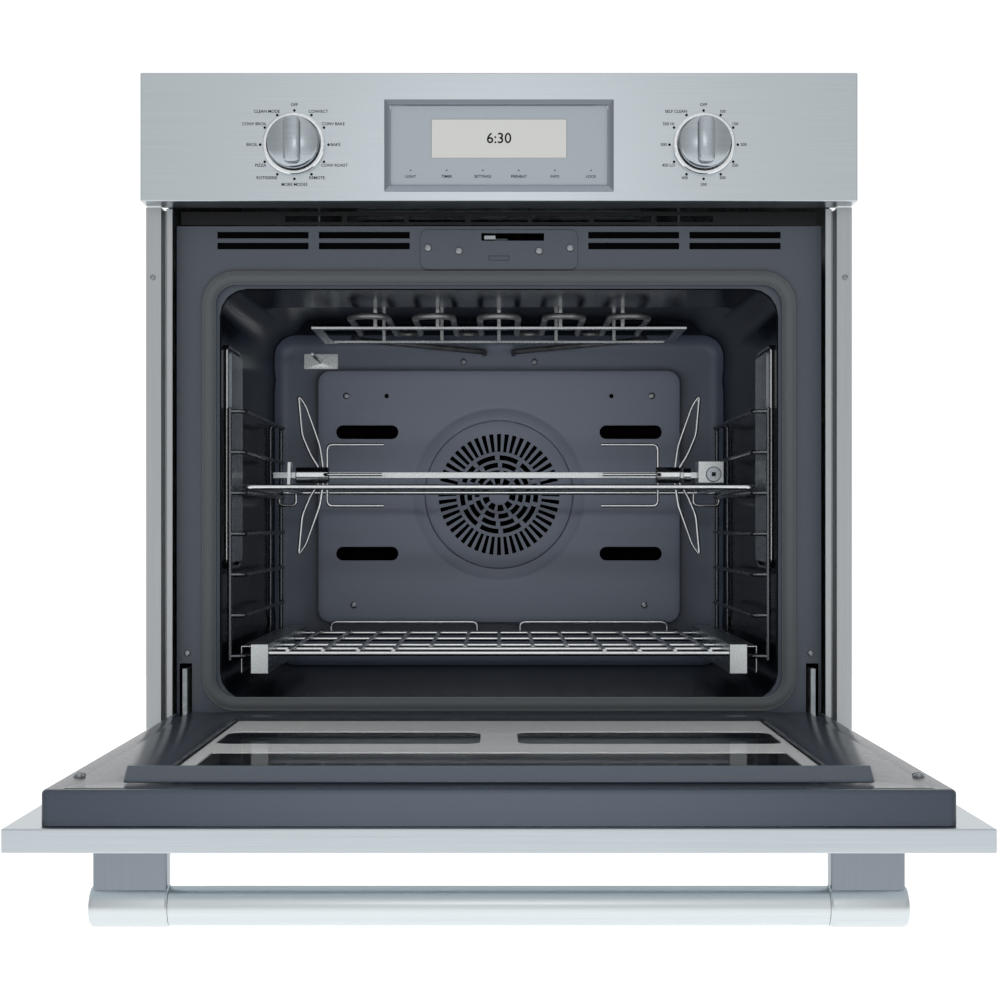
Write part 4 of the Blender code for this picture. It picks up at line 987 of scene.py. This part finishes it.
def carried_over():
    """Every CAD node gets its finish from its material slot, except those with a finish of their own."""
    # The convection fan is drawn near-black matt: painted shade behind the grille.
    special = {"outer_glass": OUTER_GLASS, "convection_fan": SHADE_BLACK}
    for name, node in frame["nodes"].items():
        node.data.materials.clear()
        node.data.materials.append(special.get(name, FINISHES[SLOT[name]]))


# Room, lights and camera


def room():
    """A white floor well below, and a white sky that darkens to the sides in front of the oven."""
    white, _, shader, _ = finish("white_studio_floor", "#ffffff", 0.9)
    shader.inputs["Emission Color"].default_value = shade("#ffffff")
    shader.inputs["Emission Strength"].default_value = 0.4
    floor_z = cad_box[0][2] - 900 * MM
    half = 12.0
    corners = [(-half, -half, floor_z), (half, -half, floor_z), (half, half, floor_z), (-half, half, floor_z)]
    mesh = bpy.data.meshes.new("floor")
    mesh.from_pydata(corners, [], [(0, 1, 2, 3)])
    mesh.materials.append(white)
    floor = bpy.data.objects.new("floor", mesh)
    bpy.context.scene.collection.objects.link(floor)
    world = bpy.data.worlds.new("studio")
    world.use_nodes = True
    tree = world.node_tree
    towards = add(tree, "ShaderNodeTexCoord").outputs["Generated"]
    way = add(tree, "ShaderNodeSeparateXYZ", {"Vector": towards})
    across = add(tree, "ShaderNodeMath", {0: way.outputs["X"]}, operation="ABSOLUTE")
    side = add(tree, "ShaderNodeMapRange", {"Value": across.outputs[0], "From Min": 0.05, "From Max": 0.55,
                                            "To Min": 1.0, "To Max": 0.62}, interpolation_type="SMOOTHSTEP")
    behind = add(tree, "ShaderNodeMapRange", {"Value": way.outputs["Y"], "From Min": -0.1, "From Max": 0.1,
                                              "To Min": side.outputs[0], "To Max": 1.05})
    tree.nodes["Background"].inputs["Color"].default_value = shade("#ffffff")
    tree.links.new(behind.outputs[0], tree.nodes["Background"].inputs["Strength"])
    bpy.context.scene.world = world
    bpy.context.scene.view_settings.view_transform = "Standard"


def light(name, place, towards, size, power, glossy=False):
    """A soft square area light at a place, aimed at a point."""
    lamp = bpy.data.lights.new(name, "AREA")
    lamp.shape = "RECTANGLE"
    lamp.size, lamp.size_y = size
    lamp.energy = power
    holder = bpy.data.objects.new(name, lamp)
    way = Vector(towards) - Vector(place)
    holder.location = place
    holder.rotation_euler = way.to_track_quat("-Z", "Y").to_euler()
    holder.visible_glossy = glossy
    bpy.context.scene.collection.objects.link(holder)


def camera():
    """Level, straight on, 1.877 m before the control panel, at the height of the horizon."""
    lens = bpy.data.cameras.new("camera")
    lens.lens = 64.1
    lens.sensor_width = 36
    lens.shift_y = 0.024
    lens.shift_x = 0.001
    holder = bpy.data.objects.new("camera", lens)
    holder.location = (0, FRONT - 1.877, 0.261)
    holder.rotation_euler = (math.pi / 2, 0, 0)
    bpy.context.scene.collection.objects.link(holder)
    bpy.context.scene.camera = holder


carried_over()
control_panel()
front()
cavity()
fan_cover()
lamps()
elements()
ladders()
rack()
rotisserie()
door()
chassis()
room()
light("left_softbox", (-1.8, -2.6, 1.6), (0, 0, 0.3), (1.2, 1.8), 14)
light("right_softbox", (1.9, -2.4, 1.2), (0, 0, 0.3), (0.9, 1.8), 8)
light("cavity_fill", (0, -1.3, 0.10), (0, 0.2, 0.46), (0.5, 0.3), 6)
light("cavity_top", (0, -0.22, 0.45), (0, 0.2, 0.44), (0.4, 0.03), 0.55)
light("panel_sheen", (0, -3.2, 1.15), (0, FRONT, 0.66), (0.5, 0.5), 1.1, True)
camera()
